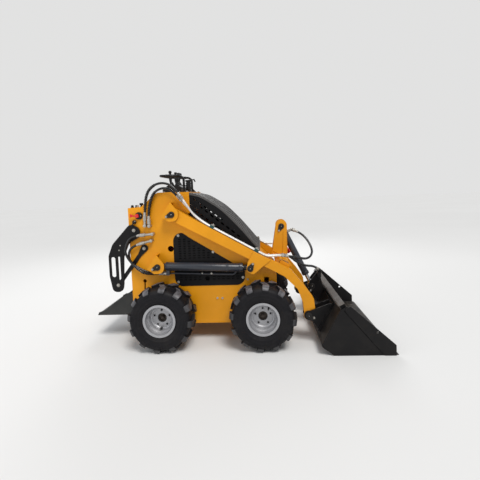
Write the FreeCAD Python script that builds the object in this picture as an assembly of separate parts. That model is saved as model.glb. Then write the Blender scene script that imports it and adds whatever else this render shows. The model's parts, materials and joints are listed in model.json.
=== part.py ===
"""Compact walk-behind skid steer loader: four driven wheels, lift arms, bucket and rear step.

Millimetres. +X is forward, +Y is left, +Z is up. Pieces are placed from the middle of the wheelbase
on the ground and written with the origin at the middle of the loader's whole length.
"""
import FreeCAD, Part
import math
import os

# Driving sizes, measured from the middle of the wheelbase, on the ground and on the centre plane
WHEELBASE = 700.0
TYRE_RADIUS = 230.0
TYRE_WIDTH = 216.0
CHASSIS_HALF_WIDTH = 280.0
WHEEL_CENTRE_Y = CHASSIS_HALF_WIDTH + 120.0
SIDE_PLATE_THICKNESS = 10.0
SHEET = 5.0
BUCKET_WIDTH = 1082.0
CHASSIS_REAR_X = -608.0
CHASSIS_FRONT_X = 457.0
BELLY_Z = 133.0
WAIST_Z = 600.0
TOWER_TOP_Z = 1100.0
HOOD_HALF_WIDTH = CHASSIS_HALF_WIDTH - 40.0
BUCKET_TIP_X = 1208.0
STEP_TIP_X = -908.0

# The tower was drawn this high above its waist, and what it carries keeps that share of its height
TOWER_DRAWN = 500.0


def tower_z(z):
    """A height above the waist, carried up or down with the tower's top."""
    if z <= WAIST_Z:
        return z
    return WAIST_Z + (z - WAIST_Z) * (TOWER_TOP_Z - WAIST_Z) / TOWER_DRAWN


SHELF_Z = tower_z(996.0)

# Pivots in the side view, as (x, z)
ARM_PIVOT = (-266.0, tower_z(940.0))
ARM_KNEE = (370.5, 572.5)
LIFT_BASE = (-386.0, 570.0)
LIFT_EYE = (273.0, 542.0)
BUCKET_PIVOT = (668.0, 203.0)
TILT_BASE = (514.0, 803.0)
TILT_EYE = (740.0, 325.0)

# Arms and their pins
ARM_GAP = 5.0
ARM_WIDTH = 60.0
ARM_TOP = 44.0
ARM_BOTTOM = 40.0
ARM_BOTTOM_FRONT = 18.0
PIN_RADIUS = 15.0
PIN_CLEARANCE = 0.05
EAR_THICKNESS = 10.0
EAR_GAP = 5.0
SIDE_GAP = 2.0

# Cylinders
LIFT_BARREL_RADIUS = 30.0
LIFT_BARREL_START = 52.0
LIFT_BARREL_END = 606.0
LIFT_ROD_START = 97.0
LIFT_ROD_RADIUS = 16.0
TILT_BARREL_RADIUS = 26.5
TILT_BARREL_START = 50.0
TILT_PORT_PLACE = 64.0
TILT_PORT_REACH = 62.0
TILT_BARREL_END = 434.0
TILT_ROD_START = 150.0
TILT_ROD_RADIUS = 15.0
EYE_WIDTH = 40.0
EYE_RADIUS = 28.0
ROD_CLEARANCE = 0.4

# Bucket
BUCKET_SHEET = 8.0
BUCKET_SIDE = 6.0
BUCKET_DOUBLER = 4.0
BUCKET_EDGE = 12.0
COUPLER_THICKNESS = 16.0

# Hoses and tubes
HOSE_RADIUS = 8.5
TUBE_RADIUS = 8.0

# Values that follow from the driving sizes
LENGTH_MIDDLE = (BUCKET_TIP_X + STEP_TIP_X) / 2
INNER_Y = CHASSIS_HALF_WIDTH - SIDE_PLATE_THICKNESS
ARM_INNER_Y = CHASSIS_HALF_WIDTH + ARM_GAP
ARM_OUTER_Y = ARM_INNER_Y + ARM_WIDTH
ARM_MIDDLE_Y = (ARM_INNER_Y + ARM_OUTER_Y) / 2
EAR_INNER_Y = ARM_OUTER_Y + EAR_GAP
EAR_OUTER_Y = EAR_INNER_Y + EAR_THICKNESS
LIFT_Y = ARM_MIDDLE_Y + 3.0
COUPLER_HALF_WIDTH = EAR_OUTER_Y + 12.0
BUCKET_HALF = BUCKET_WIDTH / 2
BUCKET_PLATE_Y = BUCKET_HALF - BUCKET_DOUBLER
BUCKET_INSIDE_Y = BUCKET_PLATE_Y - BUCKET_SIDE
PIN_HOLE = PIN_RADIUS + PIN_CLEARANCE


def vector(x, y, z):
    return FreeCAD.Vector(x, y, z)


def along(origin, angle_deg, distance, offset=0.0):
    """The side-view point at a distance along a slope, and an offset to the left of it."""
    a = math.radians(angle_deg)
    return (
        origin[0] + distance * math.cos(a) - offset * math.sin(a),
        origin[1] + distance * math.sin(a) + offset * math.cos(a),
    )


def slope_between(start, end):
    return math.degrees(math.atan2(end[1] - start[1], end[0] - start[0]))


def distance_between(start, end):
    return math.hypot(end[0] - start[0], end[1] - start[1])


ARM_SLOPE = -slope_between(ARM_PIVOT, ARM_KNEE)
ARM_LENGTH = distance_between(ARM_PIVOT, ARM_KNEE)


def rounded_wire(points, radii, closed=True):
    """Straight runs through the points, joined by tangent arcs where a radius is above 0."""
    count = len(points)
    entries, exits, arcs = list(points), list(points), [None] * count
    for i, radius in enumerate(radii):
        if radius <= 0 or (not closed and i in (0, count - 1)):
            continue
        point = points[i]
        back = (points[i - 1] - point).normalize()
        ahead = (points[(i + 1) % count] - point).normalize()
        half = back.getAngle(ahead) / 2
        reach = radius / math.tan(half)
        entries[i] = point + back * reach
        exits[i] = point + ahead * reach
        middle = (back + ahead).normalize()
        through = point + middle * (radius / math.sin(half) - radius)
        arcs[i] = Part.Arc(entries[i], through, exits[i]).toShape()
    edges = []
    for i in range(count):
        if arcs[i]:
            edges.append(arcs[i])
        following = (i + 1) % count
        if (closed or i < count - 1) and (exits[i] - entries[following]).Length > 1e-6:
            edges.append(Part.LineSegment(exits[i], entries[following]).toShape())
    return Part.Wire(edges)


def side_prism(corners, y_from, y_to):
    """A side-view outline of (x, z) or (x, z, radius) corners, drawn out from y_from to y_to."""
    points = [vector(c[0], y_from, c[1]) for c in corners]
    radii = [c[2] if len(c) > 2 else 0 for c in corners]
    face = Part.Face(rounded_wire(points, radii))
    return face.extrude(vector(0, y_to - y_from, 0))


def plan_prism(corners, z_from, z_to):
    """A plan outline of (x, y) or (x, y, radius) corners, drawn out from z_from to z_to."""
    points = [vector(c[0], c[1], z_from) for c in corners]
    radii = [c[2] if len(c) > 2 else 0 for c in corners]
    face = Part.Face(rounded_wire(points, radii))
    return face.extrude(vector(0, 0, z_to - z_from))


def block(x_from, x_to, y_from, y_to, z_from, z_to):
    corner = vector(min(x_from, x_to), min(y_from, y_to), min(z_from, z_to))
    sizes = abs(x_to - x_from), abs(y_to - y_from), abs(z_to - z_from)
    return Part.makeBox(*sizes, corner)


def side_slot(place, angle_deg, length, height, y_from, y_to):
    """A punched slot with cut corners, drawn out across the loader."""
    half = length / 2
    flat = half - height * 0.35
    rise = height / 2
    low = height * 0.18
    corners = [
        along(place, angle_deg, dx, dz)
        for dx, dz in (
            (-flat, -rise), (flat, -rise), (half, -low), (half, low),
            (flat, rise), (-flat, rise), (-half, low), (-half, -low),
        )
    ]
    return side_prism(corners, y_from, y_to)


def cross_rod(place, radius, y_from, y_to):
    """A round bar across the loader at a side-view place."""
    start = vector(place[0], min(y_from, y_to), place[1])
    return Part.makeCylinder(radius, abs(y_to - y_from), start, vector(0, 1, 0))


def side_bar(origin, angle_deg, start, end, radius, y):
    """A round bar in the side view, along a slope from its origin."""
    a = math.radians(angle_deg)
    direction = vector(math.cos(a), 0, math.sin(a))
    base = vector(origin[0], y, origin[1]) + direction * start
    return Part.makeCylinder(radius, end - start, base, direction)


def bar_between(start, end, radius):
    return Part.makeCylinder(radius, (end - start).Length, start, end - start)


def turned(profile, base):
    """A profile of (radius, height) corners, turned round an upright axis at its base."""
    corners = [base + vector(r, 0, h) for r, h in profile]
    face = Part.Face(Part.makePolygon(corners + corners[:1]))
    return face.revolve(base, vector(0, 0, 1), 360)


def mirrored(shape):
    return shape.mirror(vector(0, 0, 0), vector(0, 1, 0))


def fused(shapes):
    whole = shapes[0].multiFuse(shapes[1:]) if len(shapes) > 1 else shapes[0]
    return whole.removeSplitter()


def pair(shape):
    """A right-hand shape and its left-hand copy, as separate solids."""
    return Part.makeCompound([shape, mirrored(shape)])


def bent_tube(points, radius, bend_share=0.45):
    """A round tube through points: straight runs, each bend as large as its two runs allow."""
    radii = [0.0] * len(points)
    for i in range(1, len(points) - 1):
        back = points[i - 1] - points[i]
        ahead = points[i + 1] - points[i]
        turn = math.pi - back.getAngle(ahead)
        shorter = min(back.Length, ahead.Length)
        radii[i] = bend_share * shorter / math.tan(turn / 2)
    path = rounded_wire(points, radii, closed=False)
    ring = Part.Wire(Part.makeCircle(radius, points[0], points[1] - points[0]))
    tube = path.makePipe(Part.Face(ring))
    return tube, path.Length, min(radii[1:-1])


def save(node, shape):
    """Writes one node, moved so that the middle of the whole length is at x = 0."""
    moved = shape.copy()
    moved.translate(vector(-LENGTH_MIDDLE, 0, 0))
    moved.exportStep(f"parts/{node}.step")


def save_sides(name, right_shape):
    save(f"{name}_right", right_shape)
    save(f"{name}_left", mirrored(right_shape))


# Chassis

WINDOW_CORNER = (-159.0, tower_z(762.0))
WINDOW_FRONT = (161.0, 563.0)
WINDOW = [
    (-283, 411, 62), (-283, tower_z(801), 60), (-214, tower_z(801), 20), (*WINDOW_CORNER, 0.5),
    (*WINDOW_FRONT, 30), (230, 530, 10), (230, 411, 62),
]
WINDOW_RIM = 18.0
TIE_DOWN = (-305.0, tower_z(687.0))
TIE_DOWN_RADIUS = 22.0
ENGINE_BED_Z = 290.0
LEDGE_OVERLAP = 20.0
DECK_REAR = (-150.0, tower_z(880.0))
DECK_FRONT = (340.0, 600.0)


def window_outline(inset=0.0):
    """The side panel's outline, drawn in by an inset all round."""
    middle_x = sum(c[0] for c in WINDOW) / len(WINDOW)
    middle_z = sum(c[1] for c in WINDOW) / len(WINDOW)
    width = max(c[0] for c in WINDOW) - min(c[0] for c in WINDOW)
    height = max(c[1] for c in WINDOW) - min(c[1] for c in WINDOW)
    share_x = 1 - 2 * inset / width
    share_z = 1 - 2 * inset / height
    return [
        (middle_x + (x - middle_x) * share_x, middle_z + (z - middle_z) * share_z, r * share_z)
        for x, z, r in WINDOW
    ]


def pivot_ear(place):
    """An outer ear round a pin, with the web that carries it from the side plate."""
    x, z = place
    outline = [
        (x - 6, z + 88, 4), (x + 48, z + 18, 36), (x + 44, z - 46, 40),
        (x - 26, z - 48, 8), (x - 76, z - 12, 4),
    ]
    ear = side_prism(outline, -EAR_INNER_Y, -EAR_OUTER_Y)
    web_outline = [(x - 6, z + 88), (x - 2, z + 84.6), (x - 70, z - 12.5), (x - 76, z - 12)]
    web = side_prism(web_outline, -CHASSIS_HALF_WIDTH, -EAR_INNER_Y)
    return ear.fuse(web)


def side_plate():
    """The right side plate: tower, wheel side and front, with its window, holes and ears."""
    outline = [
        (CHASSIS_REAR_X, SHELF_Z), (CHASSIS_REAR_X, 190, 10), (-560, BELLY_Z, 20),
        (420, BELLY_Z, 20), (CHASSIS_FRONT_X, 180, 10), (CHASSIS_FRONT_X, 485, 5),
        (*DECK_FRONT, 20), (*DECK_REAR, 20), (-168, tower_z(948), 20), (-274, TOWER_TOP_Z, 10),
        (-384, TOWER_TOP_Z, 10), (-426, TOWER_TOP_Z - 29, 20), (-508, SHELF_Z + 5, 5),
    ]
    plate = side_prism(outline, -INNER_Y, -CHASSIS_HALF_WIDTH)
    plate = fused([plate, pivot_ear(ARM_PIVOT), pivot_ear(LIFT_BASE)])
    reach = (-INNER_Y + 1, -EAR_OUTER_Y - 1)
    cuts = [
        side_prism(window_outline(WINDOW_RIM), *reach),
        cross_rod(ARM_PIVOT, PIN_HOLE, *reach),
        cross_rod(LIFT_BASE, PIN_HOLE, *reach),
        cross_rod(TIE_DOWN, TIE_DOWN_RADIUS, *reach),
        cross_rod((-510, 455), 13, *reach),
        side_prism([(-518, 380, 4), (-508, 380, 4), (-505, 455), (-515, 455)], *reach),
        side_prism([(366, 400, 4), (402, 400, 4), (402, 462, 4), (366, 462, 4)], *reach),
    ]
    return plate.cut(cuts)


def tub():
    """Everything welded between the side plates: belly, walls, engine bed and front slope."""
    wall = SHEET + 3
    strips = [
        [(-560, BELLY_Z), (420, BELLY_Z), (420, BELLY_Z + wall), (-560, BELLY_Z + wall)],
        [(420 - wall, BELLY_Z), (420, BELLY_Z), (CHASSIS_FRONT_X, 180), (CHASSIS_FRONT_X, 485),
         DECK_FRONT, (DECK_FRONT[0] - 7, DECK_FRONT[1] - 4), (CHASSIS_FRONT_X - wall, 481),
         (CHASSIS_FRONT_X - wall, 183),
         (420 - wall, BELLY_Z + wall)],
        [(-560, BELLY_Z), (-560 + wall, BELLY_Z + wall), (CHASSIS_REAR_X + wall, 193),
         (CHASSIS_REAR_X + wall, SHELF_Z - wall), (CHASSIS_REAR_X, SHELF_Z - wall),
         (CHASSIS_REAR_X, 190)],
        [(-200, ENGINE_BED_Z), (CHASSIS_FRONT_X - wall, ENGINE_BED_Z),
         (CHASSIS_FRONT_X - wall, ENGINE_BED_Z + wall), (-200, ENGINE_BED_Z + wall)],
        [(-200, BELLY_Z + wall), (-200 + wall, BELLY_Z + wall), (-200 + wall, DECK_REAR[1]),
         (-200, DECK_REAR[1])],
    ]
    slope = slope_between(DECK_REAR, DECK_FRONT)
    reach = distance_between(DECK_REAR, DECK_FRONT)
    ledge = side_prism(
        [DECK_REAR, DECK_FRONT, along(DECK_REAR, slope, reach, -SHEET),
         along(DECK_REAR, slope, 0, -SHEET)],
        -INNER_Y, -HOOD_HALF_WIDTH + LEDGE_OVERLAP,
    )
    plates = [side_prism(strip, -INNER_Y, INNER_Y) for strip in strips]
    return fused(plates + [ledge, mirrored(ledge)])


def console():
    """The cover between the towers, and the narrower box in front of them."""
    drop = SHEET
    cover = side_prism(
        [(CHASSIS_REAR_X, SHELF_Z - 3 - drop), (CHASSIS_REAR_X, SHELF_Z - 3), (-508, SHELF_Z + 2),
         (-426, TOWER_TOP_Z - 32), (-384, TOWER_TOP_Z - 3), (-274, TOWER_TOP_Z - 3),
         (-274, TOWER_TOP_Z - 3 - drop), (-382, TOWER_TOP_Z - 3 - drop),
         (-424, TOWER_TOP_Z - 32 - drop), (-506, SHELF_Z + 2 - drop)],
        -INNER_Y, INNER_Y,
    )
    half = HOOD_HALF_WIDTH
    low = ARM_PIVOT[1]
    box = block(-360, -160, -half, half, low, TOWER_TOP_Z - 2)
    hollow = block(-355, -165, -half + drop, half - drop, low - 10, TOWER_TOP_Z - 2 - drop)
    return fused([cover, box]).cut(hollow)


HOOD_REAR_X = -160.0
HOOD_SHEET = 3.0
HOOD_FLANGE = 16.0
HOOD_SIDE_Y = HOOD_HALF_WIDTH - HOOD_SHEET
HOOD_TOP = [
    (HOOD_REAR_X, tower_z(1092), 6), (-78, tower_z(1072), 60), (70, tower_z(975), 300),
    (204, tower_z(832), 300), (346, tower_z(655), 8),
]
DECK_SLOPE = slope_between(DECK_REAR, DECK_FRONT)
DECK_LENGTH = distance_between(DECK_REAR, DECK_FRONT)
HOOD_SLOTS = [
    # first slot's centre (x, z), count, pitch along the row
    ((-151, 1003), 2, 48.0),
    ((-119, 1039), 6, 48.0),
    ((-75, 980), 3, 48.0),
    ((-37, 947), 6, 48.0),
    ((4, 911), 6, 48.0),
    ((-72, 920), 6, 48.0),
    ((-108, 948), 2, 48.0),
    ((-35, 882), 5, 48.0),
]
HOOD_SLOT_SLOPE = -38.5
HOOD_SLOT_LENGTH = 27.0
HOOD_SLOT_HEIGHT = 10.0


def hood_line(drop):
    """The hood's top line from rear to front, drawn in by a drop below its surface."""
    line = []
    for i, (x, z, r) in enumerate(HOOD_TOP):
        last = i == len(HOOD_TOP) - 1
        line.append((x - (1.6 * drop if last else 0.6 * drop if i > 1 else 0), z - drop, r))
    return line


def hood_region(drop, half, rear_reach=0.0, foot_drop=0.0):
    """What lies under the hood's line, down to the sloping deck."""
    line = hood_line(drop)
    line[0] = (HOOD_REAR_X - rear_reach, line[0][1], 5)
    rear_foot = along(
        DECK_REAR, DECK_SLOPE,
        (HOOD_REAR_X - rear_reach - DECK_REAR[0]) / math.cos(math.radians(DECK_SLOPE)), -foot_drop,
    )
    front_foot = along(DECK_REAR, DECK_SLOPE, DECK_LENGTH - 2 - 1.5 * drop, -foot_drop)
    return side_prism(line + [front_foot, rear_foot], -half, half)


def hood():
    """The hood's bent top skin: its long curve, its turned-down edges and its front foot."""
    shell = hood_region(0, HOOD_HALF_WIDTH).cut(
        hood_region(HOOD_SHEET + 1, HOOD_SIDE_Y, 20, 20)
    )
    below_edges = hood_region(HOOD_SHEET + HOOD_FLANGE, HOOD_HALF_WIDTH + 1, 20, 20)
    return shell.cut(below_edges)


def hood_side():
    """One slotted sheet inside the skin's edge, standing on the ledge."""
    below_skin = hood_region(HOOD_SHEET + 1, HOOD_SIDE_Y, 20, 20)
    inner_reach = (-HOOD_SIDE_Y + HOOD_SHEET, HOOD_SIDE_Y + 1)
    others = block(DECK_REAR[0] - 100, DECK_FRONT[0] + 100, *inner_reach, 0, TOWER_TOP_Z)
    sheet = below_skin.common(hood_region(0, HOOD_HALF_WIDTH)).cut(others)
    slots = []
    for (x, z), count, pitch in HOOD_SLOTS:
        for k in range(round(count)):
            place = along((x, tower_z(z)), HOOD_SLOT_SLOPE, pitch * k)
            slots.append(side_slot(place, HOOD_SLOT_SLOPE, HOOD_SLOT_LENGTH, HOOD_SLOT_HEIGHT,
                                   -HOOD_SIDE_Y - 1, -HOOD_SIDE_Y + HOOD_SHEET + 1))
    return sheet.cut(slots)


PANEL_SHEET = 3.0
PANEL_SLOT = (20.0, 6.0)
PANEL_PITCH = (34.5, 17.4)
PANEL_MARGIN = 35.0
PANEL_HOLE = (-44.0, 463.5)
PANEL_HOLE_RADIUS = 17.0
PANEL_FIELDS = [
    # first column x, last column x, lowest row z, rows
    (-236.0, 40.0, 616.0, 9),
    (-237.0, 178.0, 457.0, 4),
]


def panel_slot_places():
    """The punched slots' centres: an upper field that ends at the sloping edge, and a lower one."""
    fall = (WINDOW_FRONT[0] - WINDOW_CORNER[0]) / (WINDOW_CORNER[1] - WINDOW_FRONT[1])
    places = []
    for first_x, last_x, low_z, rows in PANEL_FIELDS:
        for row in range(round(rows)):
            z = low_z + PANEL_PITCH[1] * row
            edge_x = WINDOW_CORNER[0] + (WINDOW_CORNER[1] - z) * fall - PANEL_MARGIN
            for column in range(int((last_x - first_x) / PANEL_PITCH[0]) + 1):
                x = first_x + PANEL_PITCH[0] * column
                clear = distance_between((x, z), PANEL_HOLE) > PANEL_HOLE_RADIUS + 18
                if x + PANEL_SLOT[0] / 2 < edge_x and clear:
                    places.append((x, z))
    return places


def side_panel():
    """The right-hand ventilated panel over the side plate's window."""
    face = -CHASSIS_HALF_WIDTH
    reach = (face + 1, face - PANEL_SHEET - 1)
    sheet = side_prism(window_outline(), face, face - PANEL_SHEET)
    slots = [side_slot(place, 0, *PANEL_SLOT, *reach) for place in panel_slot_places()]
    return sheet.cut(slots + [cross_rod(PANEL_HOLE, PANEL_HOLE_RADIUS, *reach)])


ENGINE_HALF_WIDTH = CHASSIS_HALF_WIDTH - 80.0


def engine():
    return block(-120, 280, -ENGINE_HALF_WIDTH, ENGINE_HALF_WIDTH, ENGINE_BED_Z + SHEET + 3, 640)


def flagged_pin(place, y_from, y_to, flag_angle):
    """A pin with its locking flag, whose tail takes the keeper bolt."""
    tail = along(place, flag_angle, 40)
    left = along(place, flag_angle + 90, 22)
    right = along(place, flag_angle - 90, 22)
    flag = side_prism(
        [(*left, 0), (*along(tail, flag_angle + 90, 9), 8), (*along(tail, flag_angle - 90, 9), 8),
         (*right, 0)],
        y_to, y_to - 6,
    )
    head = cross_rod(place, 22, y_to, y_to - 6)
    return fused([cross_rod(place, PIN_RADIUS, y_from, y_to), head, flag])


def chassis_pins():
    pins = [
        flagged_pin(place, -INNER_Y + 6, -EAR_OUTER_Y, 200) for place in (ARM_PIVOT, LIFT_BASE)
    ]
    return Part.makeCompound(pins + [mirrored(pin) for pin in pins])


HUB_FACE_Y = WHEEL_CENTRE_Y + 3.0
HUB_RADIUS = 30.0
HUB_INNER_Y = WHEEL_CENTRE_Y - 50.0
SHAFT_RADIUS = 16.0


def wheel_motors():
    """Four motor housings on the side plates, each with the shaft that carries its wheel."""
    motors = []
    for x in (-WHEELBASE / 2, WHEELBASE / 2):
        centre = (x, TYRE_RADIUS)
        motor = fused([
            cross_rod(centre, 70, -CHASSIS_HALF_WIDTH, -CHASSIS_HALF_WIDTH - 10),
            cross_rod(centre, 45, -CHASSIS_HALF_WIDTH, -HUB_INNER_Y + 1),
            cross_rod(centre, SHAFT_RADIUS, -CHASSIS_HALF_WIDTH, -HUB_FACE_Y + 12),
        ])
        motors += [motor, mirrored(motor)]
    return Part.makeCompound(motors)


STEP_HALF_WIDTH = CHASSIS_HALF_WIDTH - 50.0
STEP_Z = 187.0


def step():
    """The operator's rear step: a deck, its two side gussets and the plate that bolts on."""
    deck = block(STEP_TIP_X, CHASSIS_REAR_X, -STEP_HALF_WIDTH, STEP_HALF_WIDTH, STEP_Z, STEP_Z + 8)
    mount = block(CHASSIS_REAR_X - 8, CHASSIS_REAR_X, -STEP_HALF_WIDTH, STEP_HALF_WIDTH,
                  STEP_Z, 351)
    gusset = side_prism(
        [(STEP_TIP_X, STEP_Z, 3), (STEP_TIP_X + 6, 207, 5), (-843, 228, 60), (-705, 330, 30),
         (-682, 351, 10), (CHASSIS_REAR_X, 351), (CHASSIS_REAR_X, STEP_Z)],
        -STEP_HALF_WIDTH, -STEP_HALF_WIDTH + 6,
    )
    return fused([deck, mount, gusset, mirrored(gusset)])


GUARD_Y = CHASSIS_HALF_WIDTH + 7.0
GUARD_BOLT = (-565.0, tower_z(833.0))
GUARD_FOOT = (-703.0, 433.0)
STRUT_BOSS = (-499.0, tower_z(698.0))


def guard():
    """The slotted plate beside the operator's leg, with its strut, both bolted to the side."""
    outline = [
        (-596, tower_z(880), 36), (-516, tower_z(846), 44), (-530, tower_z(782), 30),
        (-607, tower_z(741), 60), (-651, 640, 60), (-662, 440, 20), (-672, 381, 40),
        (-746, 381, 36), (-768, 500, 60), (-768, 650, 60), (-734, tower_z(734), 60),
    ]
    plate = side_prism(outline, -GUARD_Y, -GUARD_Y - 8)
    slots = [
        side_prism([(-750, 492, 15), (-718, 492, 15), (-718, 641, 15), (-750, 641, 15)],
                   -GUARD_Y + 1, -GUARD_Y - 9),
        side_prism([(-698, 470, 7), (-682, 470, 7), (-682, 644, 7), (-698, 644, 7)],
                   -GUARD_Y + 1, -GUARD_Y - 9),
    ]
    spacer = cross_rod(GUARD_BOLT, 22, -CHASSIS_HALF_WIDTH, -GUARD_Y)
    bolts = [
        cross_rod(GUARD_BOLT, 9, -GUARD_Y - 8, -GUARD_Y - 14),
        cross_rod(GUARD_FOOT, 9, -GUARD_Y - 8, -GUARD_Y - 14),
        cross_rod(STRUT_BOSS, 9, -GUARD_Y, -GUARD_Y - 6),
    ]
    slope = slope_between(STRUT_BOSS, GUARD_FOOT)
    reach = distance_between(STRUT_BOSS, GUARD_FOOT)
    strut = side_prism(
        [(*along(STRUT_BOSS, slope, 0, 26), 0), (*along(STRUT_BOSS, slope, -26, 26), 24),
         (*along(STRUT_BOSS, slope, -26, -26), 24), (*along(STRUT_BOSS, slope, 0, -26), 0),
         (*along(STRUT_BOSS, slope, 60, -14), 30), (*along(STRUT_BOSS, slope, reach + 14, -14), 12),
         (*along(STRUT_BOSS, slope, reach + 14, 14), 12), (*along(STRUT_BOSS, slope, 60, 14), 30)],
        -CHASSIS_HALF_WIDTH, -GUARD_Y,
    )
    return fused([plate.cut(slots), spacer, strut] + bolts)


# Controls on top of the console

CONSOLE_TOP = TOWER_TOP_Z - 2.0
HANDLE_Z = TOWER_TOP_Z + 121.0
HANDLE_FRONT_X = -214.0
HANDLE_REAR_X = -400.0
HANDLE_HALF_WIDTH = 150.0
HANDLE_RADIUS = 9.0
HANDLE_BEND = 38.0


def handle_bar():
    """The bent hand bar that loops back over the levers, a little higher at the operator's end."""
    half = HANDLE_HALF_WIDTH
    rear_z = HANDLE_Z + 8
    points = [
        vector(HANDLE_FRONT_X, -half, CONSOLE_TOP), vector(HANDLE_FRONT_X, -half, HANDLE_Z),
        vector(HANDLE_REAR_X, -half, rear_z), vector(HANDLE_REAR_X, half, rear_z),
        vector(HANDLE_FRONT_X, half, HANDLE_Z), vector(HANDLE_FRONT_X, half, CONSOLE_TOP),
    ]
    radii = [0] + [HANDLE_BEND] * 4 + [0]
    path = rounded_wire(points, radii, closed=False)
    ring = Part.Wire(Part.makeCircle(HANDLE_RADIUS, points[0], vector(0, 0, 1)))
    bar = path.makePipe(Part.Face(ring))
    feet = [
        Part.makeCylinder(20, 6, vector(HANDLE_FRONT_X, side * half, CONSOLE_TOP)) for side in (-1, 1)
    ]
    return fused([bar] + feet)


VALVE_HALF_WIDTH = 112.0
VALVE_TOP = CONSOLE_TOP + 56.0
LEVER_RADIUS = 5.5
KNOB_RADIUS = 12.0
LEVERS = [
    # y, foot x, knob x, knob height above the valve cover
    (-84, -326, -334, 98),
    (-28, -290, -282, 84),
    (28, -290, -282, 84),
    (84, -326, -334, 98),
]


def lever(y, foot_x, knob_x, height):
    """One hand lever: its pleated boot, the curved stem and the turned knob."""
    boot = turned(
        [(0, -2), (21, -2), (21, 5), (17, 10), (18, 13), (13, 18), (14, 21), (9, 27), (0, 27)],
        vector(foot_x, y, VALVE_TOP),
    )
    stem_points = [
        vector(foot_x, y, VALVE_TOP + 10), vector(foot_x - 10, y, VALVE_TOP + 0.6 * height),
        vector(knob_x, y, VALVE_TOP + height),
    ]
    stem, _, _ = bent_tube(stem_points, LEVER_RADIUS)
    r = KNOB_RADIUS
    knob = turned(
        [(0, -6), (7, -6), (r, 3), (r, 10), (8, 17), (0, 17)],
        vector(knob_x, y, VALVE_TOP + height),
    )
    return fused([boot, stem, knob])


def control_levers():
    """The valve cover in front of the operator, with its four curved levers."""
    cover = side_prism(
        [(-388, CONSOLE_TOP), (-250, CONSOLE_TOP), (-244, VALVE_TOP - 18, 10),
         (-262, VALVE_TOP, 10), (-352, VALVE_TOP, 16), (-394, VALVE_TOP - 34, 10)],
        -VALVE_HALF_WIDTH, VALVE_HALF_WIDTH,
    )
    return fused([cover] + [lever(*row) for row in LEVERS])


FILLER_PLACE = (-205.0, -30.0)
FILLER_HEIGHT = 84.0


def filler():
    """The ribbed breather in front of the levers, with its cap and the throttle wire's arm."""
    x, y = FILLER_PLACE
    ribs = []
    for k in range(5):
        low = 8 + 14 * k
        ribs += [(18, low), (22, low), (22, low + 8), (18, low + 8)]
    cap = [(18, FILLER_HEIGHT), (24, FILLER_HEIGHT), (24, FILLER_HEIGHT + 12), (0, FILLER_HEIGHT + 12)]
    top = CONSOLE_TOP + FILLER_HEIGHT
    shapes = [turned([(0, 0), (18, 0)] + ribs + cap, vector(x, y, CONSOLE_TOP))]
    shapes.append(bar_between(vector(x - 22, y, top + 8), vector(x + 46, y, top + 15), 4))
    shapes.append(bar_between(vector(x + 44, y, top + 18), vector(x + 54, y, top - 4), 5))
    return fused(shapes)


# Fittings on the side plates

FITTINGS = [
    # inner end (x, z), hose end (x, z)
    ((-427, tower_z(803)), (-512, tower_z(797))),
    ((-438, tower_z(755)), (-518, tower_z(735))),
    ((-478, tower_z(865)), (-474, tower_z(932))),
    ((-446, tower_z(862)), (-446, tower_z(905))),
]
FITTING_Y = CHASSIS_HALF_WIDTH + 28.0


def fittings():
    """Elbows that pass out of the side plate and turn along it to their hoses."""
    elbows = []
    for inner, outer in FITTINGS:
        slope = slope_between(inner, outer)
        reach = distance_between(inner, outer)
        stub = cross_rod(inner, 11, -CHASSIS_HALF_WIDTH, -FITTING_Y - 11)
        stem = side_bar(inner, slope, 0, reach - 26, 9, -FITTING_Y)
        nut = side_bar(inner, slope, reach - 30, reach, 13, -FITTING_Y)
        elbows.append(fused([stub, stem, nut]))
    return Part.makeCompound(elbows + [mirrored(elbow) for elbow in elbows])


def battery_switch():
    """The rotary isolator beside the operator, on its round plate."""
    place = (-527, tower_z(937))
    plate = cross_rod(place, 30, -CHASSIS_HALF_WIDTH, -CHASSIS_HALF_WIDTH - 10)
    knob = cross_rod(place, 19, -CHASSIS_HALF_WIDTH - 10, -CHASSIS_HALF_WIDTH - 30)
    key = side_bar(place, 172, 0, 56, 6, -CHASSIS_HALF_WIDTH - 21)
    return fused([plate, knob, key])


# Wheels

# The rim's radius is this share of the tyre's, as on an 18 inch tyre with an 8 inch rim
RIM_SHARE = 8.0 / 18.11
RIM_RADIUS = TYRE_RADIUS * RIM_SHARE
FLANGE_RADIUS = RIM_RADIUS + 10.4
WELL_RADIUS = RIM_RADIUS - 17.6
RIM_HALF_WIDTH = 100.0
RIM_SHEET = 5.0
LUG_COUNT = 12
LUG_HEIGHT = 17.0


def wheel_ring(profile, x):
    """A profile of (radius, y) corners, turned round the axle."""
    points = [vector(x, y, TYRE_RADIUS + r) for r, y, *_ in profile]
    radii = [c[2] if len(c) > 2 else 0 for c in profile]
    face = Part.Face(rounded_wire(points, radii))
    return face.revolve(vector(x, 0, TYRE_RADIUS), vector(0, 1, 0), 360)


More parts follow.
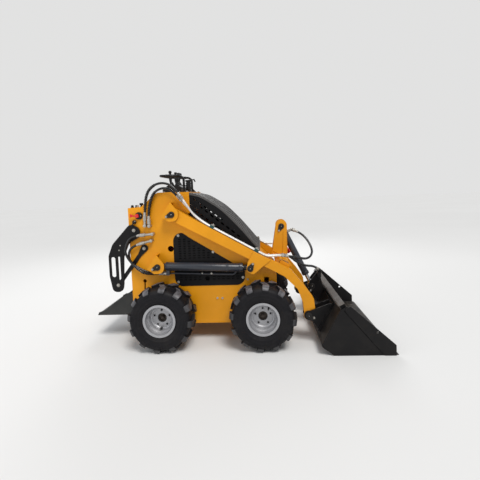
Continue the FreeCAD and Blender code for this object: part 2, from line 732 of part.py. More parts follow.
def tyre(x):
    """The right-hand tyre: carcass and two staggered rows of bar lugs."""
    y = -WHEEL_CENTRE_Y
    half = TYRE_WIDTH / 2
    bead = RIM_RADIUS + 0.3
    tread = TYRE_RADIUS - LUG_HEIGHT
    widest = bead + 0.43 * (tread - bead)
    carcass = wheel_ring(
        [(bead, y - 91.7), (FLANGE_RADIUS + 1, y - 91.7, 6), (widest, y - half, 40),
         (tread - 18, y - half + 4, 16), (tread, y - 70, 20), (tread, y + 70, 20),
         (tread - 18, y + half - 4, 16), (widest, y + half, 40), (FLANGE_RADIUS + 1, y + 91.7, 6),
         (bead, y + 91.7)],
        x,
    )
    envelope = wheel_ring(
        [(tread - 26, y - half), (tread - 6, y - half), (TYRE_RADIUS - 4, y - 82),
         (TYRE_RADIUS, y - 50), (TYRE_RADIUS, y + 50), (TYRE_RADIUS - 4, y + 82),
         (tread - 6, y + half), (tread - 26, y + half)],
        x,
    )
    lugs = []
    for row, side in enumerate((-1, 1)):
        low = tread - 24
        bar = plan_prism(
            [(x - 16, y + side * 4), (x + 16, y + side * 4), (x + 46, y + side * 52),
             (x + 46, y + side * (half + 2)), (x + 4, y + side * (half + 2)), (x + 10, y + side * 60)],
            TYRE_RADIUS + low, TYRE_RADIUS * 2 + 5,
        )
        bar = bar.common(envelope)
        for k in range(LUG_COUNT):
            lug = bar.copy()
            angle = 360.0 * (k + row / 2) / LUG_COUNT
            lug.rotate(vector(x, 0, TYRE_RADIUS), vector(0, 1, 0), angle)
            lugs.append(lug)
    return carcass.multiFuse(lugs).removeSplitter()


DISC_DEPTH = 76.5
DISC_THICKNESS = 8.0
DISC_HOLE_RADIUS = WELL_RADIUS * 0.38
DISC_FLAT_RADIUS = WELL_RADIUS * 0.79
HUB_FLANGE_RADIUS = WELL_RADIUS * 0.74
STUD_CIRCLE_RADIUS = WELL_RADIUS * 0.655
STUD_COUNT = 5


def rim(x):
    """The right-hand rim: rolled flanges, well, disc with five holes, and the hub set behind it."""
    y = -WHEEL_CENTRE_Y
    face = y - RIM_HALF_WIDTH
    back = y + RIM_HALF_WIDTH
    thin = RIM_SHEET
    disc = face + DISC_DEPTH
    disc_back = disc + DISC_THICKNESS
    well = WELL_RADIUS
    shell = wheel_ring(
        [(FLANGE_RADIUS, face), (FLANGE_RADIUS, face + 8), (RIM_RADIUS, face + 8),
         (RIM_RADIUS - 1, face + 30), (well, face + 52), (well, disc + 20),
         (RIM_RADIUS - 1, back - 40), (RIM_RADIUS, back - 8), (FLANGE_RADIUS, back - 8),
         (FLANGE_RADIUS, back), (RIM_RADIUS - thin, back), (RIM_RADIUS - thin - 1, back - 40),
         (well - thin, disc + 22), (well - thin, disc_back), (DISC_HOLE_RADIUS, disc_back),
         (DISC_HOLE_RADIUS, disc), (DISC_FLAT_RADIUS, disc), (well - 12, disc - 6), (well - thin, disc - 8),
         (well - thin, face + 52), (RIM_RADIUS - thin - 1, face + 26), (RIM_RADIUS - thin, face)],
        x,
    )
    centre = (x, TYRE_RADIUS)
    hub = fused([
        cross_rod(centre, HUB_FLANGE_RADIUS, disc_back, disc_back + 20),
        cross_rod(centre, HUB_RADIUS, disc_back, -HUB_INNER_Y),
    ])
    cuts = [
        cross_rod(centre, DISC_HOLE_RADIUS, disc, -HUB_FACE_Y),
        cross_rod(centre, SHAFT_RADIUS + PIN_CLEARANCE, -HUB_INNER_Y + 1, -HUB_FACE_Y + 8),
    ]
    for k in range(STUD_COUNT):
        place = along(centre, 90 + 360 / STUD_COUNT * k, STUD_CIRCLE_RADIUS)
        cuts.append(cross_rod(place, 7, disc - 20, disc_back + 10))
    return fused([shell, hub]).cut(cuts)


# Lift arms

KNEE_TOP = [(430, 589, 0), (560, 520, 60), (652, 401, 60), (708, 318, 40), (716, 236, 30)]
KNEE_BOTTOM = [(640, 165, 34), (632, 288, 40), (600, 385, 60), (506, 482, 80)]


def arm():
    """The right lift arm: a tapered box, the bent front box, and the plates at the lift pin."""
    beam_top = along(ARM_PIVOT, -ARM_SLOPE, 790, ARM_TOP)
    beam_end = along(ARM_PIVOT, -ARM_SLOPE, ARM_LENGTH, -ARM_BOTTOM_FRONT)
    rear_top = along(ARM_PIVOT, -ARM_SLOPE, 0, ARM_TOP)
    rear_bottom = along(ARM_PIVOT, -ARM_SLOPE, 10, -ARM_BOTTOM)
    beam = side_prism([rear_bottom, beam_end, beam_top, rear_top], -ARM_INNER_Y, -ARM_OUTER_Y)
    front = side_prism(
        [(363, 558, 0), (416, 600, 0)] + KNEE_TOP + KNEE_BOTTOM, -ARM_INNER_Y, -ARM_OUTER_Y
    )
    boss = cross_rod(ARM_PIVOT, ARM_TOP, -ARM_INNER_Y + SIDE_GAP, -EAR_INNER_Y + SIDE_GAP)
    plate_outline = [
        (299, 662, 4), (417, 597, 4), (363, 556, 10), (296, 500, 28), (242, 520, 28), (256, 580, 20)
    ]
    outer_plate = side_prism(plate_outline, -ARM_OUTER_Y, -ARM_OUTER_Y - 8)
    inner_outline = [(262, 640), (356, 590), (360, 552, 10), (296, 500, 28), (242, 520, 28)]
    inner_plate = side_prism(inner_outline, -ARM_INNER_Y - 2, -ARM_INNER_Y - 10)
    reach = (-ARM_INNER_Y + 5, -ARM_OUTER_Y - 9)
    holes = [cross_rod(place, PIN_HOLE, *reach) for place in (ARM_PIVOT, BUCKET_PIVOT)]
    holes.append(cross_rod(LIFT_EYE, PIN_HOLE, *reach))
    return fused([beam, front, boss, outer_plate, inner_plate]).cut(holes)


CROSS_CENTRE = (506.0, 533.0)
CROSS_SIZE = 76.0


def arm_cross():
    """The square box between the arms that carries the tilt bracket."""
    half = CROSS_SIZE / 2
    slope = -ARM_SLOPE
    corners = [
        (*along(along(CROSS_CENTRE, slope, dx * half), slope + 90, dz * half), 6)
        for dx, dz in ((-1, -1), (1, -1), (1, 1), (-1, 1))
    ]
    return side_prism(corners, -ARM_INNER_Y, ARM_INNER_Y)


BRACKET_Y = 38.0


def tilt_bracket():
    """Two cheek plates that stand on the cross box and hold the tilt cylinder's pin."""
    x, z = TILT_BASE
    outline = [
        (452, 566), (538, 516), (556, 600, 40), (x + 44, z + 10, 40), (x + 40, z + 50, 42),
        (x - 40, z + 50, 42), (x - 42, z, 40), (436, 600, 20),
    ]
    box_top = side_prism(
        [(*along(along(CROSS_CENTRE, -ARM_SLOPE, -60), 60, CROSS_SIZE / 2), 0),
         (*along(along(CROSS_CENTRE, -ARM_SLOPE, 60), 60, CROSS_SIZE / 2), 0),
         (*along(along(CROSS_CENTRE, -ARM_SLOPE, 60), 60, -200), 0),
         (*along(along(CROSS_CENTRE, -ARM_SLOPE, -60), 60, -200), 0)],
        -BRACKET_Y - 20, BRACKET_Y + 20,
    )
    cheek = side_prism(outline, -BRACKET_Y, -BRACKET_Y - 10).cut(box_top)
    cheek = cheek.cut(cross_rod(TILT_BASE, PIN_HOLE, -BRACKET_Y + 1, -BRACKET_Y - 11))
    rear = side_prism([(446, 600), (452, 598), (490, 740), (484, 742)], -BRACKET_Y, BRACKET_Y)
    return fused([cheek, mirrored(cheek), rear])


def arm_pins():
    """The tilt cylinder's upper pin, and the lift pins' two short ends each side."""
    tilt_pin = flagged_pin(TILT_BASE, BRACKET_Y + 16, -BRACKET_Y - 10, 240)
    outer = flagged_pin(LIFT_EYE, -ARM_OUTER_Y + 3, -ARM_OUTER_Y - 8, 60)
    inner = cross_rod(LIFT_EYE, PIN_RADIUS, -ARM_INNER_Y - 2, -ARM_INNER_Y - 11)
    return Part.makeCompound([tilt_pin, outer, mirrored(outer), inner, mirrored(inner)])


ARM_TUBES = [
    # y, rear end (x, z)
    (-ARM_MIDDLE_Y - 15, (-202, tower_z(1067))),
    (-ARM_MIDDLE_Y + 9, (-214, tower_z(1050))),
]


def arm_tubes():
    """Steel lines along the top of each arm, in clamps that sit on it."""
    tubes = []
    rise = ARM_TOP + TUBE_RADIUS + 0.3
    for y, rear_end in ARM_TUBES:
        start = along(ARM_PIVOT, -ARM_SLOPE, 235, rise)
        end = along(ARM_PIVOT, -ARM_SLOPE, 740, rise)
        points = [
            vector(rear_end[0], y, rear_end[1]), vector(-110, y, tower_z(926)),
            vector(start[0], y, start[1]),
            vector(end[0], y, end[1]), vector(470, y + 24, 633), vector(518, y + 40, 616),
        ]
        tube, _, _ = bent_tube(points, TUBE_RADIUS, 0.2)
        tubes.append(tube)
    for distance in (290, 645):
        centre = along(ARM_PIVOT, -ARM_SLOPE, distance, ARM_TOP + 10)
        clamp = side_prism(
            [along(centre, -ARM_SLOPE + 45 + 90 * k, 14) for k in range(4)],
            -ARM_MIDDLE_Y + 17, -ARM_MIDDLE_Y - 23,
        )
        tubes.append(clamp)
    whole = fused(tubes)
    return pair(whole)


# Cylinders

def cylinder_barrel(base, eye, y, radius, start, end, rod_radius):
    """A closed tube with its base eye; the rod's end is open for the rod."""
    slope = slope_between(base, eye)
    tube = side_bar(base, slope, start, end, radius, y)
    neck = side_bar(base, slope, EYE_RADIUS - 6, start + 2, radius * 0.72, y)
    ring = cross_rod(base, EYE_RADIUS, y - EYE_WIDTH / 2, y + EYE_WIDTH / 2)
    hole = cross_rod(base, PIN_HOLE, y - EYE_WIDTH, y + EYE_WIDTH)
    bore = side_bar(base, slope, start + 30, end + 1, rod_radius + ROD_CLEARANCE, y)
    return fused([tube, neck, ring]).cut([hole, bore])


def cylinder_rod(base, eye, y, radius, start):
    """The rod inside its barrel, with the eye that drives the linkage."""
    slope = slope_between(base, eye)
    reach = distance_between(base, eye)
    bar = side_bar(base, slope, start, reach - EYE_RADIUS + 8, radius, y)
    ring = cross_rod(eye, EYE_RADIUS, y - EYE_WIDTH / 2, y + EYE_WIDTH / 2)
    return fused([bar, ring])


LIFT_HOSE_SIDES = (-8.0, 14.0)
LIFT_PORT = along(LIFT_BASE, slope_between(LIFT_BASE, LIFT_EYE), LIFT_BARREL_START + 16)


def lift_barrel():
    """The right lift cylinder's barrel, its rear port elbow and the line to its front port."""
    y = -LIFT_Y
    slope = slope_between(LIFT_BASE, LIFT_EYE)
    barrel = cylinder_barrel(
        LIFT_BASE, LIFT_EYE, y, LIFT_BARREL_RADIUS, LIFT_BARREL_START, LIFT_BARREL_END,
        LIFT_ROD_RADIUS,
    )
    port_low = along(LIFT_PORT, slope, 0, -LIFT_BARREL_RADIUS - 22)
    port = side_prism(
        [along(port_low, slope, -10, -10), along(port_low, slope, 12, -10),
         along(port_low, slope, 12, 26), along(port_low, slope, -10, 26)],
        y - 19, y + 25,
    )
    nuts = [side_bar(port_low, slope, -34, 0, 10.5, y + side) for side in LIFT_HOSE_SIDES]
    line = [
        along(port_low, slope, 8), along(port_low, slope, 470),
        along(port_low, slope, 486, 12), along(port_low, slope, 486, 28),
    ]
    tube, _, _ = bent_tube([vector(x, y + 8, z) for x, z in line], 6, 0.3)
    return fused([barrel, port, tube] + nuts)


def lift_rod():
    return cylinder_rod(LIFT_BASE, LIFT_EYE, -LIFT_Y, LIFT_ROD_RADIUS, LIFT_ROD_START)


TILT_NUT_SLOPE = -23.3


def tilt_barrel():
    """The bucket's cylinder barrel, with its upper port."""
    barrel = cylinder_barrel(
        TILT_BASE, TILT_EYE, 0, TILT_BARREL_RADIUS, TILT_BARREL_START, TILT_BARREL_END,
        TILT_ROD_RADIUS,
    )
    slope = slope_between(TILT_BASE, TILT_EYE)
    foot = along(TILT_BASE, slope, TILT_PORT_PLACE, TILT_BARREL_RADIUS - 4)
    head = along(TILT_BASE, slope, TILT_PORT_PLACE, TILT_PORT_REACH)
    port = bar_between(vector(foot[0], 0, foot[1]), vector(head[0], 0, head[1]), 10)
    corner = Part.makeSphere(11, vector(head[0], 0, head[1]))
    nut = side_bar(head, TILT_NUT_SLOPE, 0, 24, 12, 0)
    return fused([barrel, port, corner, nut])


def tilt_rod():
    return cylinder_rod(TILT_BASE, TILT_EYE, 0, TILT_ROD_RADIUS, TILT_ROD_START)


# Bucket

def bucket_shell():
    """The bucket's back, heel and floor, bent from one sheet, with the square tube at its lip."""
    t = BUCKET_SHEET
    back_slope = slope_between((723, 62), (852, 300))
    inner_top = along((852, 300), back_slope, 0, -t)
    inner_knee = (723 + t * 1.1, 62 + t * 0.12)
    outline = [
        (852, 300), (723, 62, 8), (800, 0, 30), (1120, 0), (1120, t), (803, t, 24),
        (*inner_knee, 5), inner_top,
    ]
    inside = BUCKET_INSIDE_Y
    sheet = side_prism(outline, -inside, inside)
    lip = side_prism(
        [(840, 322, 4), (855, 291, 4), (889, 308, 4), (874, 340, 4)], -inside, inside
    )
    hollow = side_prism([(846, 320), (857, 297), (883, 310), (872, 333)], -inside, inside)
    return fused([sheet, lip.cut(hollow)])


BUCKET_HOLE = (1076.0, 152.0)
BUCKET_HOLE_RADIUS = 9.0


def bucket_sides():
    """The two side plates with their doubled front edge and lifting holes."""
    outline = [
        (723, 62, 8), (800, 0, 30), (1190, 0), (1190, 68, 4), (914, 320, 14), (880, 318, 14),
        (852, 300, 4),
    ]
    doubler_outline = [
        (1118, 0), (1190, 0), (1190, 68, 4), (914, 320, 14), (896, 319, 4), (869, 297, 20),
    ]
    plate = side_prism(outline, -BUCKET_INSIDE_Y, -BUCKET_PLATE_Y)
    doubler = side_prism(doubler_outline, -BUCKET_PLATE_Y, -BUCKET_HALF)
    hole = cross_rod(BUCKET_HOLE, BUCKET_HOLE_RADIUS, -BUCKET_INSIDE_Y + 1, -BUCKET_HALF - 1)
    return pair(fused([plate, doubler]).cut(hole))


def cutting_edge():
    """The hardened edge along the floor, bevelled to its tip."""
    top = BUCKET_EDGE
    outline = [(1120, 0), (BUCKET_TIP_X, 0), (BUCKET_TIP_X, 3), (1190, top), (1120, top)]
    return side_prism(outline, -BUCKET_INSIDE_Y, BUCKET_INSIDE_Y)


EAR_PLATE = 12.0
CENTRE_EAR_Y = 32.0


def coupler():
    """The quick-attach plate on the bucket's back, with its four lower ears and two upper ones."""
    slope = slope_between((723, 62), (852, 300))
    low = along((723, 62), slope, 36)
    high = along((723, 62), slope, 256)
    plate = side_prism(
        [low, high, along(high, slope, 0, COUPLER_THICKNESS), along(low, slope, 0, COUPLER_THICKNESS)],
        -COUPLER_HALF_WIDTH, COUPLER_HALF_WIDTH,
    )
    x, z = BUCKET_PIVOT
    ear_outline = [
        (x - 30, z - 22, 27), (x + 24, z - 40, 10), (*along(low, slope, 4, 2), 0),
        (*along(high, slope, -4, 2), 0), (*along(high, slope, -20, 30), 10), (x + 14, z + 34, 30),
        (x - 30, z + 28, 28),
    ]
    ears = []
    for inner in (ARM_INNER_Y - ARM_GAP - EAR_PLATE, ARM_OUTER_Y + ARM_GAP):
        ear = side_prism(ear_outline, -inner, -inner - EAR_PLATE)
        ears += [ear, mirrored(ear)]
    tx, tz = TILT_EYE
    centre_outline = [
        (tx - 30, tz - 12, 26), (tx + 6, tz - 44, 20), (*along(low, slope, 90, 2), 0),
        (*along(high, slope, -4, 2), 0), (tx + 78, tz + 8, 4), (tx + 64, tz + 98, 8),
        (tx + 38, tz + 104, 8), (tx - 14, tz + 40, 24),
    ]
    centre = side_prism(centre_outline, -CENTRE_EAR_Y, -CENTRE_EAR_Y - EAR_PLATE)
    hose_nut = bar_between(vector(784, -84, 466), vector(806, -67, 446), 13)
    shelf = block(780, 806, -CENTRE_EAR_Y - 4, -80, 400, 450)
    whole = fused([plate, centre, mirrored(centre), hose_nut, shelf] + ears)
    wide = COUPLER_HALF_WIDTH + 10
    return whole.cut([
        cross_rod(BUCKET_PIVOT, PIN_HOLE, -wide, wide),
        cross_rod(TILT_EYE, PIN_HOLE, -wide, wide),
    ])


def coupler_pins():
    """The bucket's two hinge pins, and the short pin ends at the tilt cylinder's eye."""
    outer = -ARM_OUTER_Y - ARM_GAP - EAR_PLATE
    hinge = flagged_pin(BUCKET_PIVOT, -ARM_INNER_Y + ARM_GAP + EAR_PLATE, outer, -50)
    stub = flagged_pin(TILT_EYE, -CENTRE_EAR_Y, -CENTRE_EAR_Y - EAR_PLATE, -110)
    return Part.makeCompound([hinge, mirrored(hinge), stub, mirrored(stub)])


# Hoses, each through hand-chosen points

HOSES = {
    "hose_top_outer": [
        (-474, -308, 932.3), (-469.6, -308, 1005), (-448, -316.4, 1104.4), (-393.9, -319.7, 1156.7),
        (-319.9, -324.7, 1170.1), (-249.2, -330, 1139.3), (-202.3, -330, 1067.4),
    ],
    "hose_top_inner": [
        (-446, -308, 905.3), (-446, -308, 961.7), (-421.4, -306.2, 1065.9), (-385.6, -306.1, 1114.3),
        (-328.7, -306, 1133.9), (-270.7, -306, 1117.6), (-214.3, -306, 1050.4),
    ],
    "hose_side_upper": [
        (-512.3, -308, 797), (-571, -308, 792.9), (-615.5, -315, 754.2), (-637.4, -324, 660.6),
        (-517.5, -326, 522.8), (-414.5, -326, 519.1), (-354.6, -326, 516.6),
    ],
    "hose_side_lower": [
        (-518.3, -308, 734.9), (-581.9, -308, 719), (-615.1, -304, 662.5), (-598.9, -303, 592.7),
        (-482.9, -303, 521.1), (-398.8, -304, 518.5), (-354.6, -304, 516.6),
    ],
}
FRONT_HOSES = {
    "hose_tilt": [
        (518.9, -290.2, 615.5), (555.1, -278, 606.4), (606.9, -240, 594),
        (678.9, -162.8, 561.1), (727.8, -117.8, 573.1), (746.8, -69.4, 616.3),
        (718.1, -20.8, 686.7), (664.6, 0, 742.6), (620.3, 0, 761.7),
    ],
    "hose_front": [
        (519.4, -265.6, 615.2), (556, -253.4, 605.9), (612, -222, 550),
        (680, -168, 512), (749.5, -110.7, 497.4), (783.7, -84.2, 466.3),
    ],
}


HOSE_DRAWN_Y = 280.0
HOSE_FREE_Y = 120.0


def hose_point(x, y, z):
    """A route point, carried out with the chassis side and up with the tower."""
    share = min(1.0, max(0.0, (-y - HOSE_FREE_Y) / (HOSE_DRAWN_Y - HOSE_FREE_Y)))
    return vector(x, y - share * (CHASSIS_HALF_WIDTH - HOSE_DRAWN_Y), tower_z(z) if x < 0 else z)


def hose(name, points):
    tube, length, tightest = bent_tube([hose_point(*p) for p in points], HOSE_RADIUS)
    print(name, "length", round(length, 1), "tightest bend radius", round(tightest, 1))
    return tube


def main():
    os.makedirs("parts", exist_ok=True)
    save_sides("side_plate", side_plate())
    save("tub", tub())
    save("console", console())
    save("hood", hood())
    save("hood_sides", pair(hood_side()))
    save_sides("side_panel", side_panel())
    save("engine", engine())
    save("chassis_pins", chassis_pins())
    save("wheel_motors", wheel_motors())
    save("step", step())
    save_sides("guard", guard())
    save("handle_bar", handle_bar())
    save("control_levers", control_levers())
    save("filler", filler())
    save("fittings", fittings())
    save("battery_switch", battery_switch())
    for place, x in (("front", WHEELBASE / 2), ("rear", -WHEELBASE / 2)):
        save_sides(f"tyre_{place}", tyre(x))
        save_sides(f"rim_{place}", rim(x))
    save_sides("arm", arm())
    save("arm_cross", arm_cross())
    save("tilt_bracket", tilt_bracket())
    save("arm_pins", arm_pins())
    save("arm_tubes", arm_tubes())
    save_sides("lift_barrel", lift_barrel())
    save_sides("lift_rod", lift_rod())
    save("tilt_barrel", tilt_barrel())
    save("tilt_rod", tilt_rod())
    save("bucket_shell", bucket_shell())
    save("bucket_sides", bucket_sides())
    save("cutting_edge", cutting_edge())
    save("coupler", coupler())
    save("coupler_pins", coupler_pins())
    for name, points in HOSES.items():
        save_sides(name, hose(name, points))
    for name, points in FRONT_HOSES.items():
        save(name, hose(name, points))


main()
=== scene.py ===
"""Looks of the compact skid steer loader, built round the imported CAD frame. Metres, same frame."""
import json
import math
import random

import bmesh
import bpy
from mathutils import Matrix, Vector
from mathutils.bvhtree import BVHTree


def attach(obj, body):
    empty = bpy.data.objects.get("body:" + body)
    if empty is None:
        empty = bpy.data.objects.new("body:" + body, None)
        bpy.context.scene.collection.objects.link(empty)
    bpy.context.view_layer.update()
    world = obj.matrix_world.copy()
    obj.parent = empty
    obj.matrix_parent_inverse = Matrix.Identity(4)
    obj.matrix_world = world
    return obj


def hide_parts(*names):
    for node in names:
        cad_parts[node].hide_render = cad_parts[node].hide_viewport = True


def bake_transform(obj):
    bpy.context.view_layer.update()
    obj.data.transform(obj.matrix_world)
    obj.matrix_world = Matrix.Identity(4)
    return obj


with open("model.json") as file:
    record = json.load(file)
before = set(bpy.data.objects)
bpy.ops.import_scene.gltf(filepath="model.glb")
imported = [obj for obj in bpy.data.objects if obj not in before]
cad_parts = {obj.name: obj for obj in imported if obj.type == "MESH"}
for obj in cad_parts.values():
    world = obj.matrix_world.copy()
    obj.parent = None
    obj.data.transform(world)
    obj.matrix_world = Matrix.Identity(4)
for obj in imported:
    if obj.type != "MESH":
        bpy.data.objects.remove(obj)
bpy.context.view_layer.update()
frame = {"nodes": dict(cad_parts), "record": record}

NODES = frame["nodes"]
SHIFT = 150.0
SIDES = (("right", -1), ("left", 1))
AHEAD = Vector((1, 0, 0))
OUT = Vector((0, -1, 0))
UP = Vector((0, 0, 1))
dice = random.Random(7)


def at(x, y, z):
    """A point of part.py, in millimetres from the middle of the wheelbase, in the frame's metres."""
    return Vector(((x - SHIFT) / 1000, y / 1000, z / 1000))


def along(place, angle_deg, distance, offset=0.0):
    """The side-view point (x, z) at a distance along a slope, and an offset to its left."""
    a = math.radians(angle_deg)
    return (
        place[0] + distance * math.cos(a) - offset * math.sin(a),
        place[1] + distance * math.sin(a) + offset * math.cos(a),
    )


def slope_between(start, end):
    """The slope in degrees from one side-view point to another."""
    return math.degrees(math.atan2(end[1] - start[1], end[0] - start[0]))


def heading(angle_deg):
    """The direction of a slope of the side view."""
    a = math.radians(angle_deg)
    return Vector((math.cos(a), 0, math.sin(a)))


def left_of(way):
    """A side-view direction turned up by a quarter turn."""
    return Vector((-way.z, 0, way.x))


def line_length(line):
    return sum((b - a).length for a, b in zip(line, line[1:]))


def linked(name, data):
    """A new object in the scene."""
    made = bpy.data.objects.new(name, data)
    bpy.context.scene.collection.objects.link(made)
    return made


# Materials, by name

MATERIALS = {}


class Surface:
    """A procedural material, with short calls for the nodes that it is made of."""

    def __init__(self, name):
        self.material = MATERIALS[name] = bpy.data.materials.new(name)
        self.material.use_nodes = True
        self.tree = self.material.node_tree
        self.tree.nodes.clear()
        self.out = self.node("ShaderNodeOutputMaterial")
        self.bsdf = self.node("ShaderNodeBsdfPrincipled")
        self.tree.links.new(self.bsdf.outputs[0], self.out.inputs[0])
        self.coords = self.node("ShaderNodeTexCoord").outputs["Object"]
        self.geometry = self.node("ShaderNodeNewGeometry")

    def node(self, kind, inputs=None, **settings):
        made = self.tree.nodes.new(kind)
        for key, value in settings.items():
            setattr(made, key, value)
        for key, value in (inputs or {}).items():
            self.feed(made.inputs[key], value)
        return made

    def feed(self, socket, value):
        if isinstance(value, bpy.types.NodeSocket):
            self.tree.links.new(value, socket)
        elif isinstance(value, (tuple, list)) and len(value) == 3 and socket.type == "RGBA":
            socket.default_value = (*value, 1)
        else:
            socket.default_value = value

    def math(self, operation, a, b=0.0, clamp=False):
        return self.node("ShaderNodeMath", {0: a, 1: b}, operation=operation, use_clamp=clamp).outputs[0]

    def times(self, a, b, clamp=False):
        return self.math("MULTIPLY", a, b, clamp)

    def noise(self, scale, detail, rough, vector=None):
        inputs = {"Vector": vector or self.coords, "Scale": scale, "Detail": detail, "Roughness": rough}
        return self.node("ShaderNodeTexNoise", inputs).outputs["Fac"]

    def patches(self, scale, detail, rough, low, high, to_low=0.0, to_high=1.0):
        """Noise drawn apart into soft-edged patches."""
        return self.spread(self.noise(scale, detail, rough), low, high, to_low, to_high)

    def stretched(self, x, y, z):
        return self.node("ShaderNodeMapping", {"Vector": self.coords, "Scale": (x, y, z)}).outputs[0]

    def spread(self, value, low, high, to_low=0.0, to_high=1.0):
        inputs = {"Value": value, "From Min": low, "From Max": high, "To Min": to_low, "To Max": to_high}
        return self.node("ShaderNodeMapRange", inputs, interpolation_type="SMOOTHSTEP").outputs[0]

    def mix(self, share, a, b):
        made = self.node("ShaderNodeMix", data_type="RGBA")
        for socket, value in ((made.inputs[0], share), (made.inputs[6], a), (made.inputs[7], b)):
            self.feed(socket, value)
        return made.outputs[2]

    def edges(self, radius):
        """High where a worn edge is: the rounded normal leaves the face's own."""
        rounded = self.node("ShaderNodeBevel", {"Radius": radius}, samples=6)
        dot = self.node("ShaderNodeVectorMath", {0: rounded.outputs[0], 1: self.geometry.outputs["Normal"]},
                        operation="DOT_PRODUCT").outputs["Value"]
        return self.spread(dot, 0.995, 0.86)

    def crease_shade(self, reach):
        """High in corners and gaps that little light gets into."""
        found = self.node("ShaderNodeAmbientOcclusion", {"Distance": reach}, samples=6).outputs["AO"]
        return self.spread(found, 0.80, 0.25)

    def axis(self, vector, name):
        return self.node("ShaderNodeSeparateXYZ", {0: vector}).outputs[name]

    def up(self):
        return self.axis(self.geometry.outputs["Normal"], "Z")

    def height(self):
        return self.axis(self.coords, "Z")

    def bump(self, height, strength, distance):
        inputs = {"Height": height, "Strength": strength, "Distance": distance}
        return self.node("ShaderNodeBump", inputs).outputs[0]

    def finish(self, **sockets):
        for key, value in sockets.items():
            self.feed(self.bsdf.inputs[key.replace("_", " ")], value)


DUST = (0.30, 0.25, 0.19)


def darker(colour, share):
    return tuple(c * share for c in colour)


def dust_on(s, amount):
    """A dust mask: more low down and on what faces up, broken by noise."""
    facing = s.spread(s.up(), 0.2, 0.95, 0.25, 1.0)
    low = s.spread(s.height(), 0.55, 0.0, 0.25, 1.0)
    patches = s.patches(9, 5, 0.65, 0.35, 0.72)
    both = s.times(facing, low)
    return s.times(s.times(both, patches), amount, clamp=True)


def paint(name, colour, rough, coat, dust, chips=0.0, peel=0.04, under=(0.09, 0.075, 0.06), shine=0.5):
    """Enamel on steel: faint tone changes, orange peel, painted shade in corners and gaps, dust, and chips
    along the edges.
    """
    s = Surface(name)
    tone = s.patches(2.3, 4, 0.6, 0.3, 0.7)
    base = s.mix(tone, darker(colour, 0.88), tuple(min(1, c * 1.06) for c in colour))
    speck = s.patches(170, 2, 0.5, 0.45, 0.75, 0.0, 0.08)
    base = s.mix(speck, base, darker(colour, 0.7))
    # painted shade: the colour is darkened in corners and gaps that little light gets into
    base = s.mix(s.times(s.crease_shade(0.03), 0.55), base, darker(colour, 0.25))
    dusty = dust_on(s, dust)
    base = s.mix(dusty, base, DUST)
    roughness = s.math("ADD", s.patches(14, 5, 0.6, 0.3, 0.7, rough - 0.05, rough + 0.07),
                       s.times(dusty, 0.45), clamp=True)
    if chips:
        worn = s.times(s.edges(0.0035), s.patches(60, 5, 0.7, 0.52, 0.60))
        worn = s.times(worn, chips, clamp=True)
        base = s.mix(worn, base, under)
    peeled = s.bump(s.noise(260, 2, 0.5), peel, 0.0006)
    s.finish(Base_Color=base, Roughness=roughness, Coat_Weight=coat, Coat_Roughness=0.22,
             Specular_IOR_Level=shine, Normal=peeled)


def metal(name, colour, rough, grain=(60, 60, 60), dust=0.15, metallic=1.0, stain=0.25, streak=0.72):
    s = Surface(name)
    streaks = s.noise(1.0, 6, 0.65, s.stretched(*grain))
    base = s.mix(s.spread(streaks, 0.3, 0.7), darker(colour, streak), colour)
    base = s.mix(s.patches(11, 5, 0.6, 0.55, 0.8, 0.0, stain), base, darker(colour, 0.42))
    # painted shade: the colour is darkened in corners and gaps that little light gets into
    base = s.mix(s.times(s.crease_shade(0.02), 0.7), base, darker(colour, 0.15))
    dusty = dust_on(s, dust)
    base = s.mix(dusty, base, DUST)
    roughness = s.math("ADD", s.spread(streaks, 0.25, 0.75, rough - 0.06, rough + 0.12),
                       s.times(dusty, 0.5), clamp=True)
    s.finish(Base_Color=base, Metallic=metallic, Roughness=roughness,
             Normal=s.bump(streaks, 0.08, 0.0006))


def rubber(name, colour, rough, dust, grain=240, bump=0.2, shine=0.2):
    s = Surface(name)
    base = s.mix(s.patches(30, 4, 0.6, 0.3, 0.7), darker(colour, 0.8), colour)
    base = s.mix(dust_on(s, dust), base, DUST)
    roughness = s.patches(45, 4, 0.6, 0.3, 0.7, rough - 0.08, rough + 0.08)
    s.finish(Base_Color=base, Roughness=roughness, Specular_IOR_Level=shine,
             Normal=s.bump(s.noise(grain, 3, 0.6), bump, 0.0008))


def worn_and_lit_rubber(name):
    """Lug tops: grey worn rubber with pale scratches, most of all where it faces up; that share is partly
    dust and wear and partly painted light from above.
    """
    s = Surface(name)
    # painted light: what faces up gets more of the grey, partly as dust and partly as light from above
    facing = s.spread(s.up(), -0.05, 0.8, 0.08, 1.0)
    scuff_and_light = s.times(s.patches(26, 6, 0.7, 0.3, 0.68), facing)
    base = s.mix(scuff_and_light, (0.020, 0.0195, 0.022), (0.140, 0.134, 0.146))
    scratch = s.spread(s.noise(1.0, 5, 0.7, s.stretched(70, 260, 70)), 0.58, 0.72)
    base = s.mix(s.times(scratch, scuff_and_light), base, (0.30, 0.29, 0.305))
    s.finish(Base_Color=base, Roughness=s.spread(scuff_and_light, 0.0, 1.0, 0.5, 0.38), Specular_IOR_Level=0.6,
             Normal=s.bump(s.noise(120, 5, 0.65), 0.35, 0.001))


